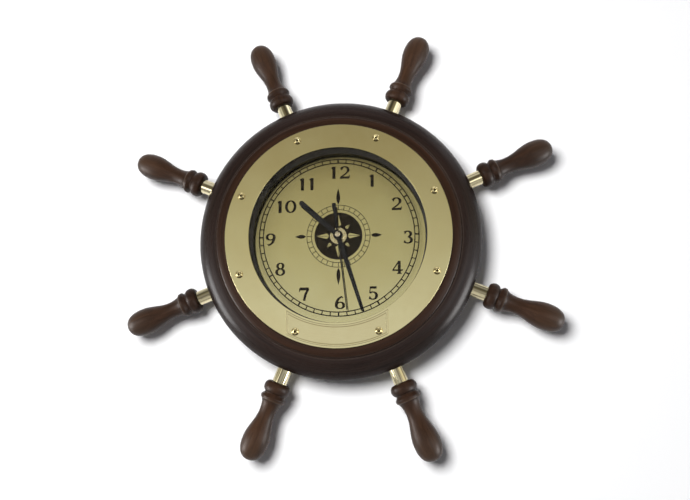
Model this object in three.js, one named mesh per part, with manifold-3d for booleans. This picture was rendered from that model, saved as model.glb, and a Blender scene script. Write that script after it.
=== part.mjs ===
// Ship's wheel wall clock: a turned wooden rim with eight spoke handles round a brass framed quartz dial.
// Millimetres. +Z is up to twelve o'clock, the dial faces -Y and the wall is the plane y = 0.
// Every piece is drawn in the face frame: x right, y up, z the depth out from the wall towards the room.

import * as THREE from 'three';
import { mergeVertices } from 'three/addons/utils/BufferGeometryUtils.js';
import Module from 'manifold-3d';

const wasm = await Module();
wasm.setup();

// Clearances
const seatGap = 0.1;          // between faces that sit on each other
const fitGap = 0.3;           // round a piece dropped into a recess or a hole
const runningGap = 0.2;       // round a turning shaft
const past = 1;               // how far a cutter runs past the face it cuts

// Facets round a full turn
const rimSegments = 40;
const discSegments = 36;
const handleSegments = 10;
const tubeSegments = 14;
const screwSegments = 8;
const boreSegments = 6;       // holes and pins out of sight

// Wheel rim and bezel
const bezelHoleRadius = 78.4;
const bezelWidth = 21.6;
const bezelThickness = 2.4;
const bezelBevel = 0.7;
const glassOverlap = 3.6;     // how far the bezel reaches over the glass
const glassThickness = 2;
const ledgeWidth = 8.3;       // shoulder that the dial board rests on
const bandWidth = 7.6;        // inner moulding beside the bezel
const bandRise = 1.7;
const bandLip = 0.1;          // foot of the moulding above the bezel's seat
const bandStep = 0.8;         // from that foot down to the outer moulding's crown
const boreChamfer = 1;
const quirkWidth = 1.4;       // fine groove between the two mouldings
const quirkDepth = 1.3;
const outerBandWidth = 17.7;
const outerBandDepth = 16.8;  // how far the outer moulding falls back
const backRound = 4;

// Spokes
const spokeCount = 8;
const tubeRadius = 6.5;
const tubeWall = 1;
const tubeShown = 12.3;       // bare tube between rim and handle
const socketDepth = 24;
const beadLength = 10;        // large bead at the handle's foot
const beadRadius = 11.7;
const beadCrown = 4;
const beadSweep = [-75, 70];  // the part of the bead's oval that is turned, in degrees
const collarLength = 6.8;     // second, smaller bead
const collarRadius = 10.8;
const collarCrown = 2.6;
const collarSweep = [-65, 50];
const neckLength = 10.2;
const neckRadius = 9.5;
const waistRadius = 7.2;
const swellLength = 25.2;
const gripRadius = 11.7;
const endLength = 17;
const endSweep = [25, 90];    // the part of the end's oval beyond the swell's own facet, in degrees

// Screws
const screwEdge = 7.3;        // from the bezel's edge to the screw circle
const screwHeadRadius = 3.3;
const screwHeadHeight = 2.1;
const screwHeadRim = 0.4;     // straight edge below the head's dome
const screwShankRadius = 1.7;
const screwLength = 15;
const screwPoint = 3.4;

// Plaque
const plaqueEnd = 8;          // plaque beyond the middle of its screws
const plaqueMargin = 1.8;     // bezel left bare inside and outside the plaque
const plaqueThickness = 0.8;

// Dial, hands and what clamps them
const dialThickness = 0.8;
const boardThickness = 6;
const spacerWall = 2.6;
const washerThickness = 0.5;
const washerRadius = 7.5;
const nutThickness = 2;
const nutRadius = 6.4;
const bushProud = 0.3;        // thread showing above the nut
const handThickness = 0.6;
const handSpacing = 0.8;
const hourHandLength = 46.7;
const hourHandHalfWidth = 2.3;
const hourHubRadius = 5;
const minuteHandLength = 70.3;
const minuteHubHalfWidth = 2.2;
const minuteTipHalfWidth = 1.3;
const minuteHubRadius = 4.4;
const secondHandLength = 67.4;
const secondHandHalfWidth = 0.5;
const secondTailLength = 28.7;
const secondTailHalfWidth = 1.8;
const secondHubRadius = 2.6;
const secondCapHeight = 1.2;
const glassClearance = 1.5;
const hourAngle = 312.5;      // clockwise from twelve, in degrees, at the time shown
const minuteAngle = 162.5;
const secondAngle = 173.3;

// Movement housing and its cell
const wallClearance = 2;      // air behind the set knob
const knobThickness = 3;
const knobRadius = 5;
const knobRibs = 12;
const cellDiameter = 14.5;
const cellLength = 50.5;
const cellNubLength = 1.3;
const cellNubRadius = 2.7;
const cellRound = 0.7;
const contactRoom = 1.55;     // for the contact at each end of the cell
const contactThickness = 0.35;
const contactHalf = 4.35;
const housingWall = 1.2;
const housingCorner = 3;
const headroom = 2.5;         // above the coil
const coverThickness = 1.2;
const gasketThickness = 1.2;
const gasketRadius = 14;
const bridgeThickness = 0.6;
const postRadius = 1.6;
const stakeRadius = 0.9;      // pin on each post that the bridge is staked to
const postInset = 3.2;
const pivotDepth = 0.6;

// Gear train
const leaves = 6;             // on every pinion but the cannon pinion
const rotorModule = 0.26;
const intermediateTeeth = 36;
const secondTeeth = 30;
const thirdTeeth = 45;
const trainModule = 0.3;      // centre wheel and third pinion
const centreTeeth = 48;
const cannonTeeth = 8;
const minuteTeeth = 24;
const hourTeeth = 24;
const wheelThickness = 0.8;
const levelPitch = 1.9;
const pinionOverhang = 0.2;
const arborRadius = 0.4;
const secondArborRadius = 0.48;
const setShaftRadius = 0.8;
const minuteTubeWall = 0.8;
const hourTubeWall = 0.8;
const bushWall = 1.2;
const magnetRadius = 2.6;
const magnetLength = 3.2;
const statorThickness = 0.8;
const statorWeb = 1.7;
const statorPostRadius = 1.2;
const coilRadius = 2.9;
const coilLength = 25;
const coreHalfHeight = 1;
const boardWidth = 10;        // circuit board
const boardHeight = 22;
const circuitThickness = 0.8;
const thirdBearing = 195;     // directions of the arbors from the centre, in degrees
const setBearing = 345;
const intermediateBearing = 75;

// Hanger
const hangerLength = 44;
const hangerHeight = 10;
const hangerThickness = 1.2;
const hangerSetback = 0.2;    // the plate's face behind the wall plane
const hangerTeeth = 6;
const hangerToothPitch = 4;
const hangerToothDepth = 2.2;
const hangerScrewInset = 4.5;
const hangerScrewRadius = 1.2;
const hangerScrewHead = 2.4;
const hangerScrewLength = 11;
const hangerScrewPoint = 2;
const nailRoom = 3.8;         // round the nail's head, and behind it
const nailSide = 1;           // pocket beyond the outer teeth

// Radii that follow
const bezelRadius = bezelHoleRadius + bezelWidth;
const glassRadius = bezelHoleRadius + glassOverlap;
const recessRadius = glassRadius + fitGap;
const rearBoreRadius = recessRadius - ledgeWidth;
const bandInnerRadius = bezelRadius + fitGap;
const quirkInnerRadius = bandInnerRadius + bandWidth;
const quirkOuterRadius = quirkInnerRadius + quirkWidth;
const rimRadius = quirkOuterRadius + outerBandWidth;
const screwCircle = bezelRadius - screwEdge;
const plaqueHalfWidth = screwCircle * Math.sin(Math.PI / spokeCount) + plaqueEnd;
const handleFoot = rimRadius + tubeShown;
const socketFloor = rimRadius - socketDepth;

// Depths that follow, from the wall outwards
const caseBack = wallClearance + knobThickness + fitGap;
const trainFloor = caseBack + housingWall + pivotDepth;
const level = (number) => trainFloor + number * levelPitch;
const bridgeBack = level(3) + wheelThickness + pivotDepth;
const motionFloor = bridgeBack + bridgeThickness + pivotDepth;
const hourWheelBack = motionFloor + levelPitch;
const trainDepth = hourWheelBack + wheelThickness + pinionOverhang + pivotDepth - caseBack;
const caseFront = caseBack + Math.max(cellDiameter + 2 * seatGap, trainDepth);
const coverBack = caseFront + seatGap;
const coverFront = coverBack + coverThickness;
const gasketBack = coverFront + seatGap;
const boardBack = gasketBack + gasketThickness + seatGap;
const dialBack = boardBack + boardThickness + seatGap;
const dialFront = dialBack + dialThickness;
const washerBack = dialFront + seatGap;
const nutBack = washerBack + washerThickness + seatGap;
const bushFront = nutBack + nutThickness + bushProud;
const hourHandBack = bushFront + handSpacing;
const minuteHandBack = hourHandBack + handThickness + handSpacing;
const secondHandBack = minuteHandBack + handThickness + handSpacing;
const secondCapFront = secondHandBack + handThickness + secondCapHeight;
const glassBack = secondCapFront + glassClearance;
const glassFront = glassBack + glassThickness;
const bezelBack = glassFront + seatGap;
const bezelFront = bezelBack + bezelThickness;
const rimLedge = boardBack - seatGap;
const rimSeat = bezelBack - seatGap;
const spokeDepth = rimSeat / 2;

// Tooth heights in modules and tooth widths in pitches: wheels, the pinions they meet, and the knob's ribs
const wheelTooth = { addendum: 0.95, dedendum: 1.6, root: 1, tip: 0.13 };
const pinionTooth = { addendum: 0.85, dedendum: 1.4, root: 0.44, tip: 0.13 };
const knobRib = { addendum: 0, dedendum: 0.6, root: 0.7, tip: 0.45 };

// Centre distances and modules of the meshing pairs
const thirdDistance = trainModule * (centreTeeth + leaves) / 2;
const thirdModule = 2 * thirdDistance / (thirdTeeth + leaves);
const centreTipRadius = trainModule * (centreTeeth / 2 + wheelTooth.addendum);
const motionDistance = centreTipRadius + setShaftRadius + 2 * runningGap;
const cannonModule = 2 * motionDistance / (cannonTeeth + minuteTeeth);
const hourModule = 2 * motionDistance / (leaves + hourTeeth);
const intermediateDistance = centreTipRadius + arborRadius + 2 * runningGap;
const secondModule = 2 * intermediateDistance / (secondTeeth + leaves);
const rotorDistance = rotorModule * (intermediateTeeth + leaves) / 2;

const degrees = Math.PI / 180;
const at = (distance, bearing) => new THREE.Vector2(
  distance * Math.cos(bearing * degrees),
  distance * Math.sin(bearing * degrees),
);
const thirdAxis = at(thirdDistance, thirdBearing);
const setAxis = at(motionDistance, setBearing);
const intermediateAxis = at(intermediateDistance, intermediateBearing);
const rotorAxis = at(rotorDistance, intermediateBearing).add(intermediateAxis);

// Shafts and tubes on the centre line, each running inside the next
const minuteTubeBore = secondArborRadius + runningGap;
const minuteTubeRadius = minuteTubeBore + minuteTubeWall;
const hourTubeBore = minuteTubeRadius + runningGap;
const hourTubeRadius = hourTubeBore + hourTubeWall;
const bushBore = hourTubeRadius + runningGap;
const bushRadius = bushBore + bushWall;

// Housing outline: the gear chamber above, the cell's bay below
const housingHalfWidth = cellLength / 2 + contactRoom + housingWall;
const lowestTooth = Math.min(
  thirdAxis.y - thirdModule * (thirdTeeth / 2 + wheelTooth.addendum),
  setAxis.y - cannonModule * (minuteTeeth / 2 + wheelTooth.addendum),
);
const chamberBottom = lowestTooth - fitGap - pivotDepth;
const bayTop = chamberBottom - housingWall;
const cellAxisHeight = bayTop - fitGap - cellDiameter / 2;
const bayBottom = cellAxisHeight - cellDiameter / 2 - fitGap;
const statorHoleRadius = magnetRadius + 2 * fitGap;
const statorBottom = intermediateAxis.y + arborRadius + fitGap;
const statorTop = rotorAxis.y + statorHoleRadius + statorWeb;
const coreHeight = statorTop + fitGap + coilRadius;
const chamberTop = coreHeight + coilRadius + headroom;
const housingTop = chamberTop + housingWall;
const housingBottom = bayBottom - housingWall;
const chamberHalfWidth = housingHalfWidth - housingWall;

// A closed geometry as a solid that can be joined to others or cut by them.
function solid(geometry) {
  const bare = geometry.clone();
  bare.deleteAttribute('normal');
  bare.deleteAttribute('uv');
  const merged = mergeVertices(bare, 1e-4);
  const corners = merged.index.array;
  const kept = [];
  for (let i = 0; i < corners.length; i += 3) {
    const [a, b, c] = corners.slice(i, i + 3);
    if (a !== b && b !== c && c !== a) kept.push(a, b, c);
  }
  return new wasm.Manifold(new wasm.Mesh({
    numProp: 3,
    vertProperties: new Float32Array(merged.attributes.position.array),
    triVerts: new Uint32Array(kept),
  }));
}

// The closed surface of a solid, ready to be shown.
function surface(body) {
  const mesh = body.getMesh();
  const geometry = new THREE.BufferGeometry();
  const places = new Float32Array(mesh.vertProperties);
  geometry.setAttribute('position', new THREE.BufferAttribute(places, 3));
  geometry.setIndex(new THREE.BufferAttribute(new Uint32Array(mesh.triVerts), 1));
  geometry.computeVertexNormals();
  return geometry;
}

// A piece turned about the face frame's z axis from [radius, depth] points, outer side first.
function turned(profile, segments) {
  const points = profile.map(([radius, depth]) => new THREE.Vector2(radius, depth));
  return solid(new THREE.LatheGeometry(points, segments).rotateX(Math.PI / 2));
}

// A ring or, with an inner radius of zero, a disc between two depths.
function ring(inner, outer, back, front, segments) {
  const profile = [[inner, back], [outer, back], [outer, front], [inner, front]];
  if (inner > 0) profile.push([inner, back]);
  return turned(profile, segments);
}

// A flat piece cut to an outline, from one depth to a thickness further out.
function plate(shape, back, thickness, curveSegments = 8) {
  const options = { depth: thickness, bevelEnabled: false, curveSegments };
  return solid(new THREE.ExtrudeGeometry(shape, options).translate(0, 0, back));
}

// The same body, moved sideways in the face frame.
function moved(body, x, y) {
  return solid(surface(body).translate(x, y, 0));
}

// A round hole or pin at a place on the face, between two depths.
function rod(x, y, radius, back, front, segments = boreSegments) {
  return moved(ring(0, radius, back, front, segments), x, y);
}

// A closed outline through [x, y] corners.
function outline(corners) {
  return new THREE.Shape(corners.map(([x, y]) => new THREE.Vector2(x, y)));
}

function rectangle(left, right, bottom, top) {
  return outline([[left, bottom], [right, bottom], [right, top], [left, top]]);
}

function roundedRectangle(left, right, bottom, top, corner) {
  const shape = new THREE.Shape();
  shape.absarc(right - corner, bottom + corner, corner, -Math.PI / 2, 0);
  shape.absarc(right - corner, top - corner, corner, 0, Math.PI / 2);
  shape.absarc(left + corner, top - corner, corner, Math.PI / 2, Math.PI);
  shape.absarc(left + corner, bottom + corner, corner, Math.PI, Math.PI * 1.5);
  return shape;
}

// Points along part of an ellipse in a turning profile, from one angle to another in degrees.
function arc(radius, depth, radiusAxis, depthAxis, from, to, steps) {
  return Array.from({ length: steps + 1 }, (_, i) => {
    const angle = (from + (to - from) * i / steps) * degrees;
    return [radius + radiusAxis * Math.cos(angle), depth + depthAxis * Math.sin(angle)];
  });
}

// Points along a smooth swelling in a turning profile: half a cosine wave from one radius to another.
function swelling(fromRadius, from, toRadius, to, steps) {
  return Array.from({ length: steps + 1 }, (_, i) => {
    const share = (1 - Math.cos(Math.PI * i / steps)) / 2;
    return [fromRadius + (toRadius - fromRadius) * share, from + (to - from) * i / steps];
  });
}

// The outline of a toothed wheel: each tooth is a trapezium from root to tip, centred on its own angle.
// Teeth whose roots are a full pitch wide meet in a point.
function toothed(teeth, module, tooth) {
  const pitch = 2 * Math.PI / teeth;
  const rootRadius = module * (teeth / 2 - tooth.dedendum);
  const tipRadius = module * (teeth / 2 + tooth.addendum);
  const rootHalf = pitch * tooth.root / 2;
  const tipHalf = pitch * tooth.tip / 2;
  const corners = [];
  for (let i = 0; i < teeth; i += 1) {
    const flank = [[rootRadius, -rootHalf], [tipRadius, -tipHalf], [tipRadius, tipHalf]];
    if (tooth.root < 1) flank.push([rootRadius, rootHalf]);
    for (const [radius, offset] of flank) {
      const angle = i * pitch + offset;
      corners.push([radius * Math.cos(angle), radius * Math.sin(angle)]);
    }
  }
  return outline(corners);
}

const wheelDisc = (teeth, module, back) => plate(
  toothed(teeth, module, wheelTooth),
  back,
  wheelThickness,
);
const pinion = (teeth, module, back) => plate(
  toothed(teeth, module, pinionTooth),
  back - pinionOverhang,
  wheelThickness + 2 * pinionOverhang,
);

// The turn that puts a gear in mesh with another: a tooth of one meets a gap of the other.
function inMesh(firstTeeth, firstTurn, bearing, secondGearTeeth) {
  const direction = bearing * degrees;
  const phase = firstTeeth * (direction - firstTurn) / (2 * Math.PI);
  return direction + Math.PI - (2 * Math.PI / secondGearTeeth) * (0.5 - phase);
}

const centreTurn = 0;
const thirdTurn = inMesh(centreTeeth, centreTurn, thirdBearing, leaves);
const secondTurn = inMesh(thirdTeeth, thirdTurn, thirdBearing + 180, leaves);
const intermediateTurn = inMesh(secondTeeth, secondTurn, intermediateBearing, leaves);
const rotorTurn = inMesh(intermediateTeeth, intermediateTurn, intermediateBearing, leaves);
const setTurn = inMesh(cannonTeeth, centreTurn, setBearing, minuteTeeth);
const hourTurn = inMesh(leaves, setTurn, setBearing + 180, hourTeeth);

// Finishes
const finish = (color, roughness, metalness) => () => new THREE.MeshStandardMaterial({
  color, roughness, metalness,
});
const darkWood = finish(0x3a2820, 0.38, 0);
const handleWood = finish(0x4a3326, 0.42, 0);
const brass = finish(0xc2b277, 0.22, 1);
const dialBrass = finish(0xb5a86c, 0.35, 1);
const blackPaint = finish(0x241f1c, 0.45, 0.2);
const darkWall = finish(0x2b2c2b, 0.6, 0);
const plywood = finish(0x9a7b54, 0.7, 0);
const blackPlastic = finish(0x1d1d1f, 0.5, 0);
const whitePlastic = finish(0xe6e2d8, 0.45, 0);
const steel = finish(0xa8aaac, 0.35, 1);
const copper = finish(0xb0653a, 0.4, 1);
const circuitGreen = finish(0x2e5f3c, 0.5, 0);
const rubber = finish(0x18181a, 0.9, 0);
const cellWrap = finish(0x6f7478, 0.35, 0.4);

const clear = new THREE.MeshStandardMaterial({
  color: 0xf4f8f6, roughness: 0.05, metalness: 0, transparent: true, opacity: 0.2,
});

function add(group, name, body, material) {
  const mesh = new THREE.Mesh(surface(body), material);
  mesh.name = name;
  group.add(mesh);
  return mesh;
}

// A group standing at a place on the face and turned about its own axis.
function placed(parent, x, y, turn = 0) {
  const group = new THREE.Group();
  group.position.set(x, y, 0);
  group.rotation.z = turn;
  parent.add(group);
  return group;
}

const spokeAngles = Array.from({ length: spokeCount }, (_, i) => (i + 0.5) * 360 / spokeCount);

// The turned rim: two mouldings round the bezel's rabbet, a stepped bore, sockets and pilot holes.
function wheelRim(group) {
  const bandFoot = rimSeat + bandLip;
  const outerFoot = bandFoot - bandStep - outerBandDepth;
  const profile = [
    [rearBoreRadius + boreChamfer, 0],
    ...arc(rimRadius - backRound, backRound, backRound, backRound, -90, 0, 2),
    ...arc(quirkOuterRadius, outerFoot, outerBandWidth, outerBandDepth, 0, 90, 4),
    [quirkOuterRadius, bandFoot - quirkDepth],
    [quirkInnerRadius, bandFoot - quirkDepth],
    ...arc(bandInnerRadius, bandFoot, bandWidth, bandRise, 0, 90, 2),
    [bandInnerRadius, rimSeat],
    [recessRadius, rimSeat],
    [recessRadius, rimLedge],
    [rearBoreRadius, rimLedge],
    [rearBoreRadius, boreChamfer],
    [rearBoreRadius + boreChamfer, 0],
  ];
  let body = turned(profile, rimSegments);
  const socketRadius = tubeRadius + fitGap;
  const socketLength = socketDepth + past;
  const pilotRadius = screwShankRadius + fitGap;
  const pilotFloor = bezelFront - screwLength - fitGap;
  for (const angle of spokeAngles) {
    const socket = new THREE.CylinderGeometry(socketRadius, socketRadius, socketLength, handleSegments);
    socket.translate(0, socketFloor + socketLength / 2, 0).rotateZ((angle - 90) * degrees);
    body = body.subtract(solid(socket.translate(0, 0, spokeDepth)));
    const place = at(screwCircle, angle);
    body = body.subtract(rod(place.x, place.y, pilotRadius, pilotFloor, bezelFront, screwSegments));
  }
  const middle = (rearBoreRadius + rimRadius) / 2;
  const halfLength = hangerLength / 2 + fitGap;
  const halfHeight = hangerHeight / 2 + fitGap;
  const plateFloor = hangerSetback + hangerThickness + seatGap;
  const nailHalf = hangerTeeth * hangerToothPitch / 2 + nailSide;
  const seatFoot = middle - halfHeight;
  const nailTop = seatFoot + hangerToothDepth + nailRoom;
  const seat = rectangle(-halfLength, halfLength, seatFoot, middle + halfHeight);
  const nailPocket = rectangle(-nailHalf, nailHalf, seatFoot - nailRoom, nailTop);
  body = body.subtract(plate(seat, -past, plateFloor + past));
  body = body.subtract(plate(nailPocket, -past, nailRoom + past));
  for (const side of [-1, 1]) {
    const x = side * (hangerLength / 2 - hangerScrewInset);
    body = body.subtract(rod(x, middle, hangerScrewRadius + fitGap, 0, hangerScrewLength + fitGap));
  }
  add(group, 'wheel_rim', body, darkWood());

  // Sawtooth strip let into the back, with its teeth over the nail's pocket.
  const teeth = [[-hangerLength / 2, -hangerHeight / 2]];
  for (let i = 0; i < hangerTeeth; i += 1) {
    const start = (i - hangerTeeth / 2) * hangerToothPitch;
    teeth.push([start, -hangerHeight / 2]);
    teeth.push([start + hangerToothPitch / 2, -hangerHeight / 2 + hangerToothDepth]);
  }
  teeth.push([hangerTeeth * hangerToothPitch / 2, -hangerHeight / 2]);
  teeth.push([hangerLength / 2, -hangerHeight / 2]);
  teeth.push([hangerLength / 2, hangerHeight / 2], [-hangerLength / 2, hangerHeight / 2]);
  let strip = plate(outline(teeth), hangerSetback, hangerThickness);
  const hanger = placed(group, 0, middle);
  const cone = (gap) => [
    [0, hangerSetback - gap],
    [hangerScrewHead + gap, hangerSetback - gap],
    [hangerScrewRadius + gap, hangerSetback + hangerThickness],
  ];
  for (const [side, name] of [[-1, 'hanger_screw_left'], [1, 'hanger_screw_right']]) {
    const x = side * (hangerLength / 2 - hangerScrewInset);
    const sinkFloor = hangerSetback + hangerThickness + past;
    const sink = [...cone(fitGap), [hangerScrewRadius + fitGap, sinkFloor], [0, sinkFloor]];
    strip = strip.subtract(moved(turned(sink, screwSegments), x, 0));
    const tip = [[hangerScrewRadius, hangerScrewLength - hangerScrewPoint], [0, hangerScrewLength]];
    add(placed(hanger, x, 0), name, turned([...cone(0), ...tip], screwSegments), steel());
  }
  add(hanger, 'hanger_plate', strip, steel());
}

// A spoke: the brass tube sits in its socket, and the handle's tenon runs through the tube.
function spoke(group, number, angle) {
  const tenonRadius = tubeRadius - tubeWall - fitGap;
  const collarFoot = handleFoot + beadLength;
  const neckFoot = collarFoot + collarLength;
  const waist = neckFoot + neckLength;
  const swell = waist + swellLength;
  const beadMiddle = handleFoot + beadLength / 2;
  const collarMiddle = collarFoot + collarLength / 2;
  const profile = [
    [0, socketFloor + fitGap],
    [tenonRadius, socketFloor + fitGap],
    [tenonRadius, handleFoot],
    ...arc(beadRadius - beadCrown, beadMiddle, beadCrown, beadLength / 2, ...beadSweep, 3),
    ...arc(collarRadius - collarCrown, collarMiddle, collarCrown, collarLength / 2, ...collarSweep, 2),
    ...arc(neckRadius, waist, waistRadius - neckRadius, -neckLength, 60, 0, 2),
    ...swelling(waistRadius, waist, gripRadius, swell, 3).slice(1),
    ...arc(0, swell, gripRadius, endLength, ...endSweep, 3),
  ];
  profile[profile.length - 1][0] = 0;
  const axle = (points, segments) => solid(new THREE.LatheGeometry(
    points.map(([radius, distance]) => new THREE.Vector2(radius, distance)),
    segments,
  ));
  const arm = placed(group, 0, 0, (angle - 90) * degrees);
  arm.position.z = spokeDepth;
  add(arm, `handle_${number}`, axle(profile, handleSegments), handleWood());
  const inner = tubeRadius - tubeWall;
  const tube = [
    [inner, socketFloor + fitGap],
    [tubeRadius, socketFloor + fitGap],
    [tubeRadius, handleFoot - seatGap],
    [inner, handleFoot - seatGap],
    [inner, socketFloor + fitGap],
  ];
  add(arm, `spoke_tube_${number}`, axle(tube, handleSegments), brass());
}

// The bezel, the bare plaque over its lower part, and the screws through both.
function bezel(group) {
  const profile = [
    [bezelHoleRadius, bezelBack],
    [bezelRadius, bezelBack],
    [bezelRadius, bezelFront - bezelBevel],
    [bezelRadius - bezelBevel, bezelFront],
    [bezelHoleRadius, bezelFront],
    [bezelHoleRadius, bezelBack],
  ];
  let body = turned(profile, rimSegments);
  const plaqueBack = bezelFront + seatGap;
  const outer = bezelRadius - plaqueMargin;
  const inner = bezelHoleRadius + plaqueMargin;
  const outerSweep = Math.asin(plaqueHalfWidth / outer);
  const innerSweep = Math.asin(plaqueHalfWidth / inner);
  const down = -Math.PI / 2;
  const shape = new THREE.Shape();
  shape.absarc(0, 0, outer, down - outerSweep, down + outerSweep, false);
  shape.absarc(0, 0, inner, down + innerSweep, down - innerSweep, true);
  let plaque = plate(shape, plaqueBack, plaqueThickness, 10);
  const holeRadius = screwShankRadius + fitGap;
  const holeFront = plaqueBack + plaqueThickness + past;
  spokeAngles.forEach((angle, index) => {
    const place = at(screwCircle, angle);
    const hole = rod(place.x, place.y, holeRadius, bezelBack - past, holeFront, screwSegments);
    body = body.subtract(hole);
    const onPlaque = place.y < 0 && Math.abs(place.x) < plaqueHalfWidth;
    if (onPlaque) plaque = plaque.subtract(hole);
    const seat = onPlaque ? plaqueBack + plaqueThickness + seatGap : bezelFront + seatGap;
    const tip = bezelFront - screwLength;
    const screw = [
      [0, tip],
      [screwShankRadius, tip + screwPoint],
      [screwShankRadius, seat],
      [screwHeadRadius, seat],
      ...arc(0, seat + screwHeadRim, screwHeadRadius, screwHeadHeight - screwHeadRim, 0, 90, 2),
    ];
    screw[screw.length - 1][0] = 0;
    add(placed(group, place.x, place.y), `bezel_screw_${index + 1}`, turned(screw, screwSegments), brass());
  });
  add(group, 'bezel_ring', body, brass());
  add(group, 'plaque_plate', plaque, brass());
}

// What the bezel clamps in the recess: glass, dark spacer, dial and the board that carries the movement.
function dialStack(group) {
  const bushHole = bushRadius + fitGap;
  add(group, 'glass', ring(0, glassRadius, glassBack, glassFront, discSegments), clear);
  const spacerBore = glassRadius - spacerWall;
  const spacer = ring(spacerBore, glassRadius, dialFront + seatGap, glassBack - seatGap, discSegments);
  add(group, 'spacer_ring', spacer, darkWall());
  const dial = ring(bushHole, glassRadius, dialBack, dialFront, discSegments);
  add(group, 'dial_plate', dial, dialBrass());
  const board = ring(bushHole, glassRadius, boardBack, boardBack + boardThickness, discSegments);
  add(group, 'dial_backboard', board, plywood());
  const washer = ring(bushHole, washerRadius, washerBack, washerBack + washerThickness, tubeSegments);
  add(group, 'dial_washer', washer, brass());
  const nut = ring(0, nutRadius, nutBack, nutBack + nutThickness, 6);
  const thread = ring(0, bushHole, nutBack - past, nutBack + nutThickness + past, tubeSegments);
  add(group, 'mounting_nut', nut.subtract(thread), brass());
  const gasket = ring(bushHole, gasketRadius, gasketBack, gasketBack + gasketThickness, tubeSegments);
  add(group, 'movement_gasket', gasket, rubber());
}

// The three hands, each drawn at twelve o'clock and turned to the time shown.
function hands(group) {
  const handAt = (angle) => placed(group, 0, 0, -angle * degrees);

  const baton = new THREE.Shape();
  baton.moveTo(-hourHandHalfWidth, 0);
  baton.lineTo(hourHandHalfWidth, 0);
  baton.absarc(0, hourHandLength - hourHandHalfWidth, hourHandHalfWidth, 0, Math.PI);
  const hourFront = hourHandBack + handThickness;
  const hourSeat = hourTubeRadius + seatGap;
  const hourBore = ring(0, hourSeat, hourHandBack - past, hourFront + past, tubeSegments);
  const hour = plate(baton, hourHandBack, handThickness, 6)
    .add(ring(0, hourHubRadius, hourHandBack, hourFront, tubeSegments))
    .subtract(hourBore);
  add(handAt(hourAngle), 'hour_hand', hour, blackPaint());

  const blade = outline([
    [-minuteHubHalfWidth, 0], [minuteHubHalfWidth, 0],
    [minuteTipHalfWidth, minuteHandLength], [-minuteTipHalfWidth, minuteHandLength],
  ]);
  const minuteFront = minuteHandBack + handThickness;
  const minuteSeat = minuteTubeRadius + seatGap;
  const minuteBore = ring(0, minuteSeat, minuteHandBack - past, minuteFront + past, tubeSegments);
  const minute = plate(blade, minuteHandBack, handThickness)
    .add(ring(0, minuteHubRadius, minuteHandBack, minuteFront, tubeSegments))
    .subtract(minuteBore);
  add(handAt(minuteAngle), 'minute_hand', minute, blackPaint());

  const needle = outline([
    [-secondHandHalfWidth, 0], [-secondTailHalfWidth, -secondTailLength],
    [secondTailHalfWidth, -secondTailLength], [secondHandHalfWidth, 0],
    [secondHandHalfWidth, secondHandLength], [-secondHandHalfWidth, secondHandLength],
  ]);
  const capBack = secondHandBack - handSpacing / 2;
  const arborFront = secondHandBack + handThickness;
  const arborHole = ring(0, secondArborRadius + seatGap, capBack - past, arborFront, boreSegments);
  const second = plate(needle, secondHandBack, handThickness)
    .add(ring(0, secondHubRadius, capBack, secondCapFront, tubeSegments))
    .subtract(arborHole);
  add(handAt(secondAngle), 'second_hand', second, blackPaint());
}

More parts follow.
